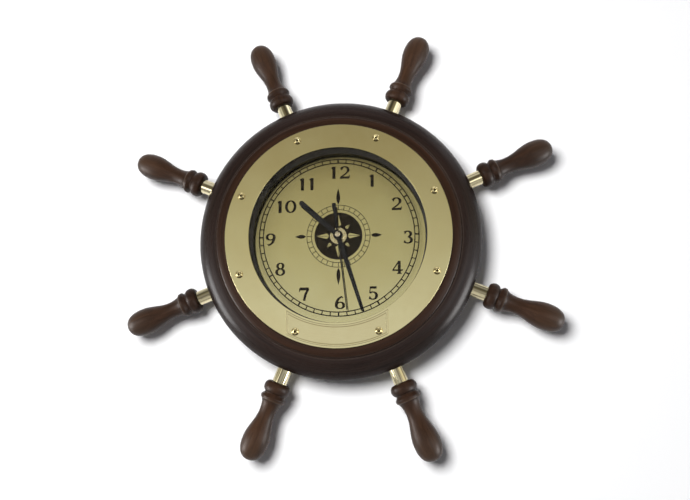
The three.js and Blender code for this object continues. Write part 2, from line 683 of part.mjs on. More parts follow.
// The plastic housing: a gear chamber open at the front and a bay for the cell open at the back.
function housing(group) {
  const left = -housingHalfWidth;
  const right = housingHalfWidth;
  const block = roundedRectangle(left, right, housingBottom, housingTop, housingCorner);
  const chamberFloor = caseBack + housingWall;
  const chamber = rectangle(-chamberHalfWidth, chamberHalfWidth, chamberBottom, chamberTop);
  const bay = rectangle(-chamberHalfWidth, chamberHalfWidth, bayBottom, bayTop);
  let body = plate(block, caseBack, caseFront - caseBack, 3)
    .subtract(plate(chamber, chamberFloor, caseFront - chamberFloor + past))
    .subtract(plate(bay, caseBack - past, caseFront - caseBack + 2 * past));
  const pivots = [thirdAxis, intermediateAxis, rotorAxis, new THREE.Vector2()];
  const pivotRadius = secondArborRadius + runningGap;
  const pivotFloor = chamberFloor - pivotDepth - seatGap;
  for (const axis of pivots) {
    body = body.subtract(rod(axis.x, axis.y, pivotRadius, pivotFloor, chamberFloor + past));
  }
  const shaftHole = setShaftRadius + runningGap;
  body = body.subtract(rod(setAxis.x, setAxis.y, shaftHole, caseBack - past, chamberFloor + past));

  // Posts for the bridge, each with a stake through it, and two shorter ones under the stator.
  const posts = [];
  for (const x of [-chamberHalfWidth + postInset, chamberHalfWidth - postInset]) {
    for (const y of [chamberBottom + postInset, chamberTop - postInset]) posts.push([x, y]);
  }
  const sunk = chamberFloor - housingWall / 2;
  for (const [x, y] of posts) {
    body = body.add(rod(x, y, postRadius, sunk, bridgeBack - seatGap));
    body = body.add(rod(x, y, stakeRadius, sunk, bridgeBack + bridgeThickness + pivotDepth / 2));
  }
  const magnetMiddle = level(1) + magnetLength / 2;
  const statorBack = magnetMiddle - statorThickness / 2;
  const statorHalf = coilLength / 2 + fitGap + 2 * statorWeb;
  for (const side of [-1, 1]) {
    const x = rotorAxis.x + side * (statorHalf - statorWeb);
    body = body.add(rod(x, rotorAxis.y, statorPostRadius, sunk, statorBack - seatGap));
  }
  add(group, 'movement_case', body, blackPlastic());

  // Cover with the threaded bush that passes through board and dial.
  const lid = plate(block, coverBack, coverThickness, 3)
    .add(ring(0, bushRadius, coverBack, bushFront, tubeSegments))
    .subtract(ring(0, bushBore, coverBack - past, bushFront + past, tubeSegments))
    .subtract(rod(setAxis.x, setAxis.y, shaftHole, coverBack - past, coverBack + pivotDepth));
  add(group, 'movement_cover', lid, blackPlastic());

  // Bridge on the four posts, bored for every arbor that it guides or lets through.
  const span = rectangle(
    -chamberHalfWidth + fitGap, chamberHalfWidth - fitGap,
    chamberBottom + fitGap, chamberTop - fitGap,
  );
  let bridge = plate(span, bridgeBack, bridgeThickness);
  const bridgeFront = bridgeBack + bridgeThickness;
  const bores = [
    [0, 0, minuteTubeRadius + runningGap],
    [setAxis.x, setAxis.y, shaftHole],
    ...[thirdAxis, intermediateAxis, rotorAxis].map((axis) => [axis.x, axis.y, arborRadius + runningGap]),
    ...posts.map(([x, y]) => [x, y, stakeRadius + runningGap]),
  ];
  for (const [x, y, radius] of bores) {
    bridge = bridge.subtract(rod(x, y, radius, bridgeBack - past, bridgeFront + past));
  }
  add(group, 'train_bridge', bridge, whitePlastic());

  // Motor: the iron frame round the rotor, with the coil wound on its upper bar.
  const frame = rectangle(
    rotorAxis.x - statorHalf, rotorAxis.x + statorHalf,
    statorBottom, coreHeight + coreHalfHeight,
  );
  const windowHalf = coilLength / 2 + fitGap;
  frame.holes.push(rectangle(
    rotorAxis.x - windowHalf, rotorAxis.x + windowHalf,
    statorTop, coreHeight - coreHalfHeight,
  ));
  const rotorHole = new THREE.Path();
  rotorHole.absarc(rotorAxis.x, rotorAxis.y, statorHoleRadius, 0, 2 * Math.PI, true);
  frame.holes.push(rotorHole);
  add(group, 'stator', plate(frame, statorBack, statorThickness, 10), steel());
  const coreDiagonal = Math.hypot(coreHalfHeight, statorThickness / 2);
  const winding = new THREE.LatheGeometry([
    new THREE.Vector2(coreDiagonal + runningGap, -coilLength / 2),
    new THREE.Vector2(coilRadius, -coilLength / 2),
    new THREE.Vector2(coilRadius, coilLength / 2),
    new THREE.Vector2(coreDiagonal + runningGap, coilLength / 2),
    new THREE.Vector2(coreDiagonal + runningGap, -coilLength / 2),
  ], tubeSegments);
  winding.rotateZ(-Math.PI / 2).translate(rotorAxis.x, coreHeight, magnetMiddle);
  add(group, 'coil', solid(winding), copper());
  const boardLeft = -chamberHalfWidth + fitGap;
  const boardFoot = chamberBottom + 2 * postInset;
  const boardSeat = chamberFloor + seatGap;
  const circuit = rectangle(boardLeft, boardLeft + boardWidth, boardFoot, boardFoot + boardHeight);
  add(group, 'circuit_board', plate(circuit, boardSeat, circuitThickness), circuitGreen());
}

// The cell lying across the bay, a flat contact at its nub and a bent leaf at its flat end.
function cell(group) {
  const middle = (caseBack + caseFront) / 2;
  const nubEnd = chamberHalfWidth - 2 * contactThickness - seatGap;
  const flatEnd = nubEnd - cellLength;
  const shoulder = nubEnd - cellNubLength;
  const can = new THREE.LatheGeometry([
    new THREE.Vector2(0, flatEnd),
    new THREE.Vector2(cellDiameter / 2 - cellRound, flatEnd),
    new THREE.Vector2(cellDiameter / 2, flatEnd + cellRound),
    new THREE.Vector2(cellDiameter / 2, shoulder - cellRound),
    new THREE.Vector2(cellDiameter / 2 - cellRound, shoulder),
    new THREE.Vector2(cellNubRadius, shoulder),
    new THREE.Vector2(cellNubRadius, nubEnd),
    new THREE.Vector2(0, nubEnd),
  ], tubeSegments);
  can.rotateZ(-Math.PI / 2).translate(0, cellAxisHeight, middle);
  add(group, 'battery', solid(can), cellWrap());

  const contactLength = 2 * contactHalf;
  const stripBack = middle - contactHalf;
  const stripRight = chamberHalfWidth - seatGap;
  const strip = rectangle(
    stripRight - contactThickness, stripRight,
    cellAxisHeight - contactHalf, cellAxisHeight + contactHalf,
  );
  add(group, 'contact_positive', plate(strip, stripBack, contactLength), steel());
  const wallSide = -chamberHalfWidth + seatGap;
  const crest = flatEnd - seatGap;
  const low = cellAxisHeight - contactHalf;
  const high = cellAxisHeight + contactHalf;
  const leaf = outline([
    [wallSide, low], [wallSide + contactThickness, low],
    [crest, cellAxisHeight], [wallSide + contactThickness, high],
    [wallSide, high], [crest - contactThickness, cellAxisHeight],
  ]);
  add(group, 'contact_negative', plate(leaf, stripBack, contactLength), steel());
}

// The going train from the rotor to the centre wheel, and the motion work from there to the hour hand.
function gearTrain(group) {
  const backPivot = caseBack + housingWall - pivotDepth;
  const bridgePivot = bridgeBack + bridgeThickness + pivotDepth / 2;
  const arbor = (radius, back, front, segments = boreSegments) => ring(0, radius, back, front, segments);

  const rotor = pinion(leaves, rotorModule, level(0))
    .add(ring(0, magnetRadius, level(1), level(1) + magnetLength, tubeSegments))
    .add(arbor(arborRadius, backPivot, bridgePivot));
  add(placed(group, rotorAxis.x, rotorAxis.y, rotorTurn), 'rotor', rotor, steel());

  const intermediate = wheelDisc(intermediateTeeth, rotorModule, level(0))
    .add(pinion(leaves, secondModule, level(1)))
    .add(arbor(arborRadius, backPivot, bridgePivot));
  const intermediateGroup = placed(group, intermediateAxis.x, intermediateAxis.y, intermediateTurn);
  add(intermediateGroup, 'intermediate_wheel', intermediate, whitePlastic());

  const second = wheelDisc(secondTeeth, secondModule, level(1))
    .add(pinion(leaves, thirdModule, level(2)))
    .add(arbor(secondArborRadius, backPivot, secondHandBack + handThickness - seatGap));
  add(placed(group, 0, 0, secondTurn), 'second_wheel', second, whitePlastic());

  const third = wheelDisc(thirdTeeth, thirdModule, level(2))
    .add(pinion(leaves, trainModule, level(3)))
    .add(arbor(arborRadius, backPivot, bridgePivot));
  add(placed(group, thirdAxis.x, thirdAxis.y, thirdTurn), 'third_wheel', third, whitePlastic());

  const minuteTubeFront = minuteHandBack + handThickness + handSpacing / 4;
  const centre = wheelDisc(centreTeeth, trainModule, level(3))
    .add(pinion(cannonTeeth, cannonModule, motionFloor))
    .add(arbor(minuteTubeRadius, level(3), minuteTubeFront, tubeSegments))
    .subtract(arbor(minuteTubeBore, level(3) - past, minuteTubeFront + past, tubeSegments));
  add(placed(group, 0, 0, centreTurn), 'centre_wheel', centre, whitePlastic());

  const setFront = coverBack + pivotDepth - seatGap;
  const knobSocket = wallClearance + knobThickness / 2;
  const minute = wheelDisc(minuteTeeth, cannonModule, motionFloor)
    .add(pinion(leaves, hourModule, hourWheelBack))
    .add(arbor(setShaftRadius, knobSocket, setFront));
  const setting = placed(group, setAxis.x, setAxis.y, setTurn);
  add(setting, 'minute_wheel', minute, whitePlastic());

  const hourTubeFront = hourHandBack + handThickness + handSpacing / 4;
  const hour = wheelDisc(hourTeeth, hourModule, hourWheelBack)
    .add(arbor(hourTubeRadius, hourWheelBack, hourTubeFront, tubeSegments))
    .subtract(arbor(hourTubeBore, hourWheelBack - past, hourTubeFront + past, tubeSegments));
  add(placed(group, 0, 0, hourTurn), 'hour_wheel', hour, whitePlastic());

  // Ribbed knob pushed on the minute wheel's shaft behind the housing.
  const ribbed = toothed(knobRibs, 2 * knobRadius / knobRibs, knobRib);
  const knob = plate(ribbed, wallClearance, knobThickness)
    .subtract(arbor(setShaftRadius + seatGap, knobSocket - seatGap, caseBack));
  add(setting, 'set_knob', knob, whitePlastic());
}

const clock = new THREE.Group();
clock.rotation.x = Math.PI / 2;

wheelRim(clock);
spokeAngles.forEach((angle, index) => spoke(clock, index + 1, angle));
bezel(clock);
dialStack(clock);
hands(clock);
housing(clock);
cell(clock);
gearTrain(clock);

const root = new THREE.Group();
root.add(clock);

export default root;
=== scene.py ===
"""A ship's wheel wall clock in its finishes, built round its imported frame.

Metres, +Z up to twelve o'clock. The dial faces -Y and the wall is the plane y = 0, so that a depth out from
the wall is -y. Sizes are written in millimetres times mm.
"""

import bmesh
import bpy
import numpy as np
from mathutils import Matrix, Vector


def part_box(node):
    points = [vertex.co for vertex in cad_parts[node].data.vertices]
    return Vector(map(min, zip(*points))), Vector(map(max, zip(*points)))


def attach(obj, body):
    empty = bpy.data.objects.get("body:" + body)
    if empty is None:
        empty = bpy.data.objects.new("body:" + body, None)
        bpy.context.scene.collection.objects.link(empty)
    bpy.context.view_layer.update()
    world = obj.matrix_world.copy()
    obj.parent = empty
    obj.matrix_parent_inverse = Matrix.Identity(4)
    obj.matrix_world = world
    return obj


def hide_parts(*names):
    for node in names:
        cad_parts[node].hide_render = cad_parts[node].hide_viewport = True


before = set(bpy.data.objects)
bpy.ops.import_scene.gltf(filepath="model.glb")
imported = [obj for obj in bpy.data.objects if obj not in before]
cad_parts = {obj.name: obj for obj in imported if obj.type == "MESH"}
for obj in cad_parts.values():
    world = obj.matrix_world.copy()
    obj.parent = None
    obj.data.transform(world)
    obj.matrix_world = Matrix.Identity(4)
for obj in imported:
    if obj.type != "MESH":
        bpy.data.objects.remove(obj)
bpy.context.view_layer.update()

mm = 0.001

# Camera: the photographer stood close, a little below the clock and to its right, and held the camera
# almost level. The angles turn it left, up and round its own axis.
camera_place = Vector((54.95 * mm, -561.22 * mm, -117.86 * mm))
camera_turn, camera_tilt, camera_roll = 0.092, 0.194, -0.005
lens_length, sensor_width = 31.9, 36.0


def placed(name, data):
    """A new object in the scene, made of a lens, a lamp or a mesh."""
    made = bpy.data.objects.new(name, data)
    bpy.context.scene.collection.objects.link(made)
    return made


lens = bpy.data.cameras.new("camera")
lens.lens, lens.sensor_width = lens_length, sensor_width
lens.clip_start = 0.01
camera = placed("camera", lens)
camera.matrix_world = (
    Matrix.Translation(camera_place)
    @ Matrix.Rotation(camera_turn, 4, "Z")
    @ Matrix.Rotation(np.pi / 2 + camera_tilt, 4, "X")
    @ Matrix.Rotation(camera_roll, 4, "Z")
)
bpy.context.scene.camera = camera
bpy.context.scene.view_settings.view_transform = "Standard"


# Room: a pale backdrop that is brightest at the level of the clock, dims to warm grey higher up and has a
# light ceiling. Camera, metal and glass see it. A round lamp up and left of the camera lights the clock and
# throws its shadow, and tall soft boxes on both sides put the highlights on lacquer and brass.
backdrop_levels = [
    (-1.0, (0.30, 0.30, 0.30)),
    (-0.36, (0.46, 0.45, 0.43)),
    (-0.12, (0.84, 0.86, 0.92)),
    (0.06, (0.84, 0.86, 0.91)),
    (0.2, (0.62, 0.61, 0.53)),
    (0.37, (0.39, 0.355, 0.275)),
    (0.56, (0.20, 0.19, 0.16)),
    (0.78, (0.85, 0.85, 0.88)),
    (1.0, (0.8, 0.8, 0.82)),
]
backdrop_sides = [
    (-1.0, 1.2), (-0.8, 1.2), (-0.52, 0.38), (-0.29, 1.0), (0.08, 0.95),
    (0.28, 0.55), (0.46, 0.5), (0.58, 2.2), (0.66, 2.5), (1.0, 2.5),
]
even_light, wall_light = (0.10, 0.10, 0.105), (0.92, 0.92, 0.93)
lamp_place = (-0.192, -0.75, 0.097)
lamp_radius, lamp_power = 0.175, 45.0
box_width, box_height = 0.44, 0.5
box_places = [(-1.10, -0.29, -0.31), (1.08, -0.21, -0.43), (-0.80, -0.84, -0.17), (0.62, -1.0, -0.16)]
box_powers = [12.0, 11.0, 2.5, 1.6]


def node(tree, kind, inputs=None, **settings):
    """A shader node with its settings made and its inputs linked from sockets or set to values."""
    made = tree.nodes.new("ShaderNode" + kind)
    for name, value in settings.items():
        setattr(made, name, value)
    for name, value in (inputs or {}).items():
        if isinstance(value, bpy.types.NodeSocket):
            tree.links.new(value, made.inputs[name])
        else:
            made.inputs[name].default_value = value
    return made


def ramp(tree, factor, stops):
    """The colour at a factor between (place, colour) stops, changing evenly from stop to stop."""
    made = node(tree, "ValToRGB", {"Fac": factor})
    elements = made.color_ramp.elements
    while len(elements) < len(stops):
        elements.new(1.0)
    for element, (place, colour) in zip(elements, stops):
        element.position = place
        element.color = (*colour, 1.0)
    return made.outputs["Color"]


def carried(tree, value, low, high, start=0.0, end=1.0):
    """A value between two limits, carried over evenly to the range from a start to an end."""
    limits = {"From Min": low, "From Max": high, "To Min": start, "To Max": end}
    return node(tree, "MapRange", {"Value": value, **limits}).outputs["Result"]


def mixture(tree, factor, first, second, **settings):
    """The colour that lies a factor of the way from the first colour to the second."""
    return node(tree, "Mix", {0: factor, 6: first, 7: second}, data_type="RGBA", **settings).outputs[2]


def reckoned(tree, operation, first, second, **settings):
    """What a sum of two values comes to."""
    return node(tree, "Math", {0: first, 1: second}, operation=operation, **settings).outputs[0]


world = bpy.data.worlds.new("room")
bpy.context.scene.world = world
world.use_nodes = True
room = world.node_tree
outlook = node(room, "SeparateXYZ", {0: node(room, "TexCoord").outputs["Generated"]}).outputs


def graded(axis, stops):
    """The room's colour by how far a direction leans along an axis, from -1 to 1."""
    share = carried(room, outlook[axis], -1.0, 1.0)
    return ramp(room, share, [((lean + 1) / 2, colour) for lean, colour in stops])


levels = graded("Z", backdrop_levels)
sides = graded("X", [(lean, (share,) * 3) for lean, share in backdrop_sides])
backdrop = mixture(room, 1.0, levels, sides, blend_type="MULTIPLY")
lighting = graded("Y", [(-0.1, even_light), (0.25, wall_light)])


def seen_rays(tree):
    """One for camera, mirror and glass rays, nought for the rest."""
    rays = node(tree, "LightPath").outputs
    seen = reckoned(tree, "MAXIMUM", rays["Is Camera Ray"], rays["Is Glossy Ray"])
    return reckoned(tree, "MAXIMUM", seen, rays["Is Transmission Ray"])


either = mixture(room, seen_rays(room), lighting, backdrop)
room.links.new(either, room.nodes["Background"].inputs["Color"])

studio = bpy.data.lights.new("studio_lamp", "POINT")
studio.energy, studio.shadow_soft_size = lamp_power, lamp_radius
studio.use_nodes = True
even = node(studio.node_tree, "LightFalloff", {"Strength": 1.0}).outputs["Constant"]
studio.node_tree.links.new(even, studio.node_tree.nodes["Emission"].inputs["Strength"])
lamp = placed("studio_lamp", studio)
lamp.location = lamp_place
lamp.visible_camera = lamp.visible_glossy = lamp.visible_transmission = False

for box_place, box_power in zip(map(Vector, box_places), box_powers):
    panel = bpy.data.lights.new("soft_box", "AREA")
    panel.shape, panel.size, panel.size_y, panel.energy = "RECTANGLE", box_width, box_height, box_power
    soft_box = placed("soft_box", panel)
    facing = box_place.to_track_quat("Z", "Y").to_matrix().to_4x4()
    soft_box.matrix_world = Matrix.Translation(box_place) @ facing
    soft_box.visible_camera = soft_box.visible_diffuse = soft_box.visible_transmission = False


# Wall and floor: a smooth white painted wall that the clock hangs on, and a pale floor well below it.
# Both show only from their front and stop no other light, so that the clock's back can be seen and lit.
wall_half_width, wall_top, floor_level = 3.0, 2.4, -1.6
floor_reach = 3.0
wall_gap = 0.6 * mm
wall_white, floor_white = (0.98, 0.98, 0.985, 1.0), (0.46, 0.455, 0.445, 1.0)


def sheet_of(name, corners, material):
    """A flat four cornered sheet for the stage."""
    mesh = bpy.data.meshes.new(name)
    mesh.from_pydata(corners, [], [(0, 1, 2, 3)])
    mesh.materials.append(material)
    made = placed(name, mesh)


def finish(name, same):
    """A material of one Principled shader, with the sockets that are alike all over set on it."""
    material = bpy.data.materials.new(name)
    material.use_nodes = True
    shader = material.node_tree.nodes["Principled BSDF"]
    for socket, value in same.items():
        shader.inputs[socket].default_value = value
    return material, material.node_tree, shader


def stage_paint(name, colour):
    """Flat paint that camera, mirror and glass rays see from its front. Every other ray passes through it."""
    material, tree, shader = finish(name, {"Base Color": colour, "Roughness": 0.9, "Specular IOR Level": 0.1})
    behind = node(tree, "NewGeometry").outputs["Backfacing"]
    solid = reckoned(tree, "SUBTRACT", seen_rays(tree), behind, use_clamp=True)
    passing = node(tree, "BsdfTransparent").outputs["BSDF"]
    shown = node(tree, "MixShader", {0: solid, 1: passing, 2: shader.outputs["BSDF"]}).outputs["Shader"]
    tree.links.new(shown, tree.nodes["Material Output"].inputs["Surface"])
    return material


sheet_of("wall", [
    (-wall_half_width, wall_gap, floor_level), (wall_half_width, wall_gap, floor_level),
    (wall_half_width, wall_gap, wall_top), (-wall_half_width, wall_gap, wall_top),
], stage_paint("wall_paint", wall_white))
sheet_of("floor", [
    (-floor_reach, -floor_reach, floor_level), (floor_reach, -floor_reach, floor_level),
    (floor_reach, floor_reach, floor_level), (-floor_reach, floor_reach, floor_level),
], stage_paint("floor_paint", floor_white))


# Wheel rim: a hardwood ring turned in one piece, with a broad outer moulding, a fine groove and a small inner
# moulding, stained dark and lacquered. The spokes' sockets and the hanger's seat are cut into it.
rim_radius, quirk_outer, quirk_inner, band_inner = 126.5 * mm, 109.3 * mm, 107.9 * mm, 100.3 * mm
recess_radius, rear_bore, bore_chamfer = 82.3 * mm, 74 * mm, 1 * mm
back_round, rim_ease = 4 * mm, 0.35 * mm
rim_seat, rim_ledge = 41.5 * mm, 22.6 * mm
outer_crown, outer_round = 40.8 * mm, 19.5 * mm
outer_end = np.degrees(np.arccos((rim_radius - quirk_outer) / outer_round))
quirk_floor = 40.3 * mm
band_foot, band_rise = 41.6 * mm, 1.7 * mm
spoke_depth = rim_seat / 2
spoke_angles = np.radians(22.5 + 45 * np.arange(8))
socket_radius, socket_floor = 6.8 * mm, 103 * mm
hanger_middle = 100.5 * mm
hanger_seat = (22.3 * mm, 5.3 * mm, 1.5 * mm)
nail_pocket = (13 * mm, 9.1 * mm, 0.7 * mm, 3.8 * mm)
rim_grain_draw = 0.05
rim_light_stain = (0.0133, 0.0058, 0.0031), (0.0435, 0.0192, 0.0098)
rim_deep_stain = (0.0098, 0.0058, 0.0048), (0.0265, 0.0152, 0.0118)
rim_worn_highlight, quirk_highlight_width, quirk_wear_highlight = (0.090, 0.066, 0.052), 0.42 * mm, 0.3
band_shade, outer_shade = 0.1, 1.0
rim_figure, rim_rough, rim_gloss = 260, (0.24, 0.34), 0.15

wheel_axis = np.array([[0, -1, 0], [1, 0, 0], [0, 0, 1]], float)


def arc(radius, along, wide, deep, start, end, steps):
    """Points on part of an oval in a turning profile, spaced evenly by angle in degrees."""
    angle = np.radians(np.linspace(start, end, steps))
    return np.column_stack([radius + wide * np.cos(angle), along + deep * np.sin(angle)])


def oblong(inner, outer, back, front):
    """The four corners of a ring's section, or of a disc's where the inner radius is nought."""
    return np.array([[inner, back], [outer, back], [outer, front], [inner, front]])


def eased(corners, cut, closed=True, steps=5):
    """An outline with soft corners. A corner that turns by more than 25 degrees becomes a quadratic curve
    from a cut before it to a cut after it, with one more point on each straight side to keep it flat."""
    corner = np.asarray(corners, float)
    sides = [np.roll(corner, 1, 0) - corner, np.roll(corner, -1, 0) - corner]
    lengths = [np.maximum(np.linalg.norm(side, axis=1), 1e-9) for side in sides]
    mild = -np.sum(sides[0] * sides[1], 1) > np.cos(np.radians(25)) * lengths[0] * lengths[1]
    if not closed:
        mild[[0, -1]] = True
    start, end = (
        corner + side * np.minimum(cut / length, 0.24)[:, None] for side, length in zip(sides, lengths)
    )
    t = np.linspace(0, 1, steps)[:, None, None]
    curve = (1 - t) ** 2 * start + 2 * t * (1 - t) * corner + t ** 2 * end
    curve = np.concatenate([(2 * start - corner)[None], curve, (2 * end - corner)[None]])
    curve[0, mild] = corner[mild]
    kept = ~mild | (np.arange(steps + 2) == 0)[:, None]
    return curve.transpose(1, 0, 2)[kept.T]


def circle(steps):
    """Angles spaced evenly round a full turn."""
    return np.linspace(0, 2 * np.pi, steps, endpoint=False)


def turned(profile, sides, axis=wheel_axis, centre=(0, 0, 0)):
    """A grid round an axis: each (radius, distance along) point of a profile carried round a full circle.
    The axis is given by its own direction and two directions across it."""
    angle = circle(sides)
    radius, along = profile[:, 0, None, None], profile[:, 1, None, None]
    round_axis = np.cos(angle)[:, None] * axis[1] + np.sin(angle)[:, None] * axis[2]
    return np.asarray(centre) + along * axis[0] + radius * round_axis


def skin(points, closed=False, ring=True):
    """A grid's points and the quads between them, facing outwards. A ring joins the last column to the first,
    and a closed skin the last row to the first."""
    rows, columns = points.shape[:2]
    index = np.arange(rows * columns).reshape(rows, columns)
    if ring:
        index = np.hstack([index, index[:, :1]])
    if closed:
        index = np.vstack([index, index[:1]])
    quads = np.stack([index[:-1, :-1], index[:-1, 1:], index[1:, 1:], index[1:, :-1]], -1).reshape(-1, 4)
    flat = points.reshape(-1, 3)
    a, b, c, d = (flat[quads[:, i]] for i in range(4))
    volume = np.sum(a * (np.cross(b, c) + np.cross(c, d)))
    return flat, quads if volume > 0 else quads[:, ::-1]


def piece(name, *skins, crease=32):
    """One mesh object of several skins. The points of a pole are merged, and edges that turn by more degrees
    than the crease stay sharp."""
    starts = np.cumsum([0] + [len(points) for points, quads in skins])
    points = np.concatenate([points for points, quads in skins])
    faces = np.concatenate([quads + start for (_, quads), start in zip(skins, starts)])
    mesh = bpy.data.meshes.new(name)
    mesh.from_pydata(points.tolist(), [], faces.tolist())
    merged = bmesh.new()
    merged.from_mesh(mesh)
    bmesh.ops.remove_doubles(merged, verts=merged.verts, dist=1e-7)
    merged.to_mesh(mesh)
    merged.free()
    mesh.shade_smooth()
    mesh.set_sharp_from_angle(angle=np.radians(crease))
    return placed(name, mesh)


def block(low, high):
    """A plain closed box between two corners, as a skin of two square rings and their middles."""
    low, high = np.asarray(low, float), np.asarray(high, float)
    square = np.array([[0, 0], [1, 0], [1, 1], [0, 1]])
    rows = [np.column_stack([np.full(4, level), square]) for level in (0, 1)]
    middle = np.array([[0, 0.5, 0.5]] * 4), np.array([[1, 0.5, 0.5]] * 4)
    return skin(low + np.stack([middle[0], rows[0], rows[1], middle[1]]) * (high - low))


def cut(made, *tools):
    """Takes closed tools out of a piece and keeps what is left as its mesh."""
    for tool in tools:
        step = made.modifiers.new("cut", "BOOLEAN")
        step.object, step.solver = tool, "EXACT"
    graph = bpy.context.evaluated_depsgraph_get()
    left = bpy.data.meshes.new_from_object(made.evaluated_get(graph))
    made.modifiers.clear()
    made.data = left
    for tool in tools:
        bpy.data.objects.remove(tool)


def spots(made):
    """The places of a piece's points."""
    flat = np.empty(len(made.data.vertices) * 3)
    made.data.vertices.foreach_get("co", flat)
    return flat.reshape(-1, 3)


def store(made, name, values):
    """Keeps a number, or a set of three, for each point of a piece under a name that its material reads."""
    values = np.ascontiguousarray(values, np.float32)
    kind, slot = ("FLOAT_VECTOR", "vector") if values.ndim == 2 else ("FLOAT", "value")
    made.data.attributes.new(name, kind, "POINT").data.foreach_set(slot, values.ravel())


def seat(made, material, body, slot, *nodes):
    """Finishes a piece: its material, the body that it moves with, and the nodes that it stands for, which
    are hidden. The slot argument is not used."""
    made.data.materials.clear()
    made.data.materials.append(material)
    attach(made, body)
    if nodes:
        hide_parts(*nodes)


def noise(tree, place, scale, detail, roughness=0.5, distortion=0.0):
    """Cloudy noise from nought to one on a set of coordinates."""
    settings = {"Scale": scale, "Detail": detail, "Roughness": roughness, "Distortion": distortion}
    return node(tree, "TexNoise", {"Vector": place, **settings}).outputs["Fac"]


def feed(tree, shader, colour, rough=None, relief=None):
    """Links what changes over a piece to its shader: its colour, its roughness, and its relief, which is
    given by a height, a strength and a distance."""
    fed = {"Base Color": colour}
    if rough is not None:
        fed["Roughness"] = rough
    if relief is not None:
        inputs = dict(zip(("Height", "Strength", "Distance"), relief))
        fed["Normal"] = node(tree, "Bump", inputs).outputs["Normal"]
    for name, socket in fed.items():
        tree.links.new(socket, shader.inputs[name])


def wood(name, light, deep, worn_highlight, figure_scale, least_rough, most_rough, gloss):
    """Stained hardwood under satin lacquer. Slow figure and fine pores are both noise on the grain's own
    coordinates. Two stains run from dark to pale, the shade mixes them, and wear thins them; at some edges
    that paler wear is also a painted highlight. Pores dull the gloss."""
    material, tree, shader = finish(name, {"Specular IOR Level": gloss})
    board = node(tree, "Attribute", attribute_name="grain").outputs["Vector"]
    shade = node(tree, "Attribute", attribute_name="shade").outputs["Fac"]
    wear_and_highlight = node(tree, "Attribute", attribute_name="wear_and_highlight").outputs["Fac"]
    figure = noise(tree, board, figure_scale, 3.0, 0.55, 0.5)
    pores = noise(tree, board, 9 * figure_scale, 2.0, 0.6)
    streaks = node(tree, "Mix", {0: 0.35, 2: figure, 3: pores}).outputs[0]
    stains = [ramp(tree, streaks, [(0.32, dark), (0.68, pale)]) for dark, pale in (light, deep)]
    thinned = mixture(tree, wear_and_highlight, mixture(tree, shade, *stains), (*worn_highlight, 1.0))
    dull = carried(tree, pores, 0.3, 0.7, most_rough, least_rough)
    feed(tree, shader, thinned, dull, (pores, 0.18, 0.08 * mm))
    return material


rim_profile = np.concatenate([
    [[rear_bore + bore_chamfer, 0]],
    arc(rim_radius - back_round, back_round, back_round, back_round, -90, 0, 6),
    arc(quirk_outer, outer_crown - outer_round, outer_round, outer_round, outer_end, 90, 16),
    [[quirk_outer, quirk_floor], [quirk_inner, quirk_floor]],
    arc(band_inner, band_foot, quirk_inner - band_inner, band_rise, 0, 90, 9),
    [[band_inner, rim_seat], [recess_radius, rim_seat], [recess_radius, rim_ledge]],
    [[rear_bore, rim_ledge], [rear_bore, bore_chamfer]],
])
rim = piece("rim", skin(turned(eased(rim_profile, rim_ease), 288), closed=True))

socket_end = rim_radius + 2 * mm
socket_profile = oblong(0, socket_radius, socket_floor, socket_end)


def spoke_axis(angle):
    """A spoke's own directions: outwards from the wheel's axis, sideways in its plane, and to the room."""
    outwards, sideways = (np.cos(angle), 0, np.sin(angle)), (-np.sin(angle), 0, np.cos(angle))
    return np.array([outwards, sideways, (0, -1, 0)])


spoke_centre = (0, -spoke_depth, 0)
sockets = piece("sockets", *(
    skin(turned(socket_profile, 48, spoke_axis(angle), spoke_centre)) for angle in spoke_angles
))
seat_half, seat_tall, seat_deep = hanger_seat
hanger_bed = piece("hanger_bed", block(
    (-seat_half, -seat_deep, hanger_middle - seat_tall), (seat_half, mm, hanger_middle + seat_tall),
))
pocket_half, pocket_down, pocket_up, pocket_deep = nail_pocket
nail_bed = piece("nail_bed", block(
    (-pocket_half, -pocket_deep, hanger_middle - pocket_down), (pocket_half, mm, hanger_middle + pocket_up),
))
cut(rim, sockets, hanger_bed, nail_bed)
place = spots(rim)
radius, depth = np.hypot(place[:, 0], place[:, 2]), -place[:, 1]
board = np.column_stack([rim_grain_draw * place[:, 0], radius - depth, rim_grain_draw * place[:, 2]])
from_edge = np.minimum(np.abs(radius - quirk_inner), np.abs(radius - quirk_outer))
store(rim, "grain", board)
store(rim, "shade", np.interp(radius, [quirk_inner, quirk_outer], [band_shade, outer_shade]))
# Pale lines at the quirk's edges: worn stain and a painted highlight, all round the ring.
store(rim, "wear_and_highlight", quirk_wear_highlight * np.exp(-((from_edge / quirk_highlight_width) ** 2)) * (depth > quirk_floor))
rim_wood = wood("rim_wood", rim_light_stain, rim_deep_stain, rim_worn_highlight, rim_figure, *rim_rough, rim_gloss)
seat(rim, rim_wood, "clock_body", "rim_wood", "wheel_rim")


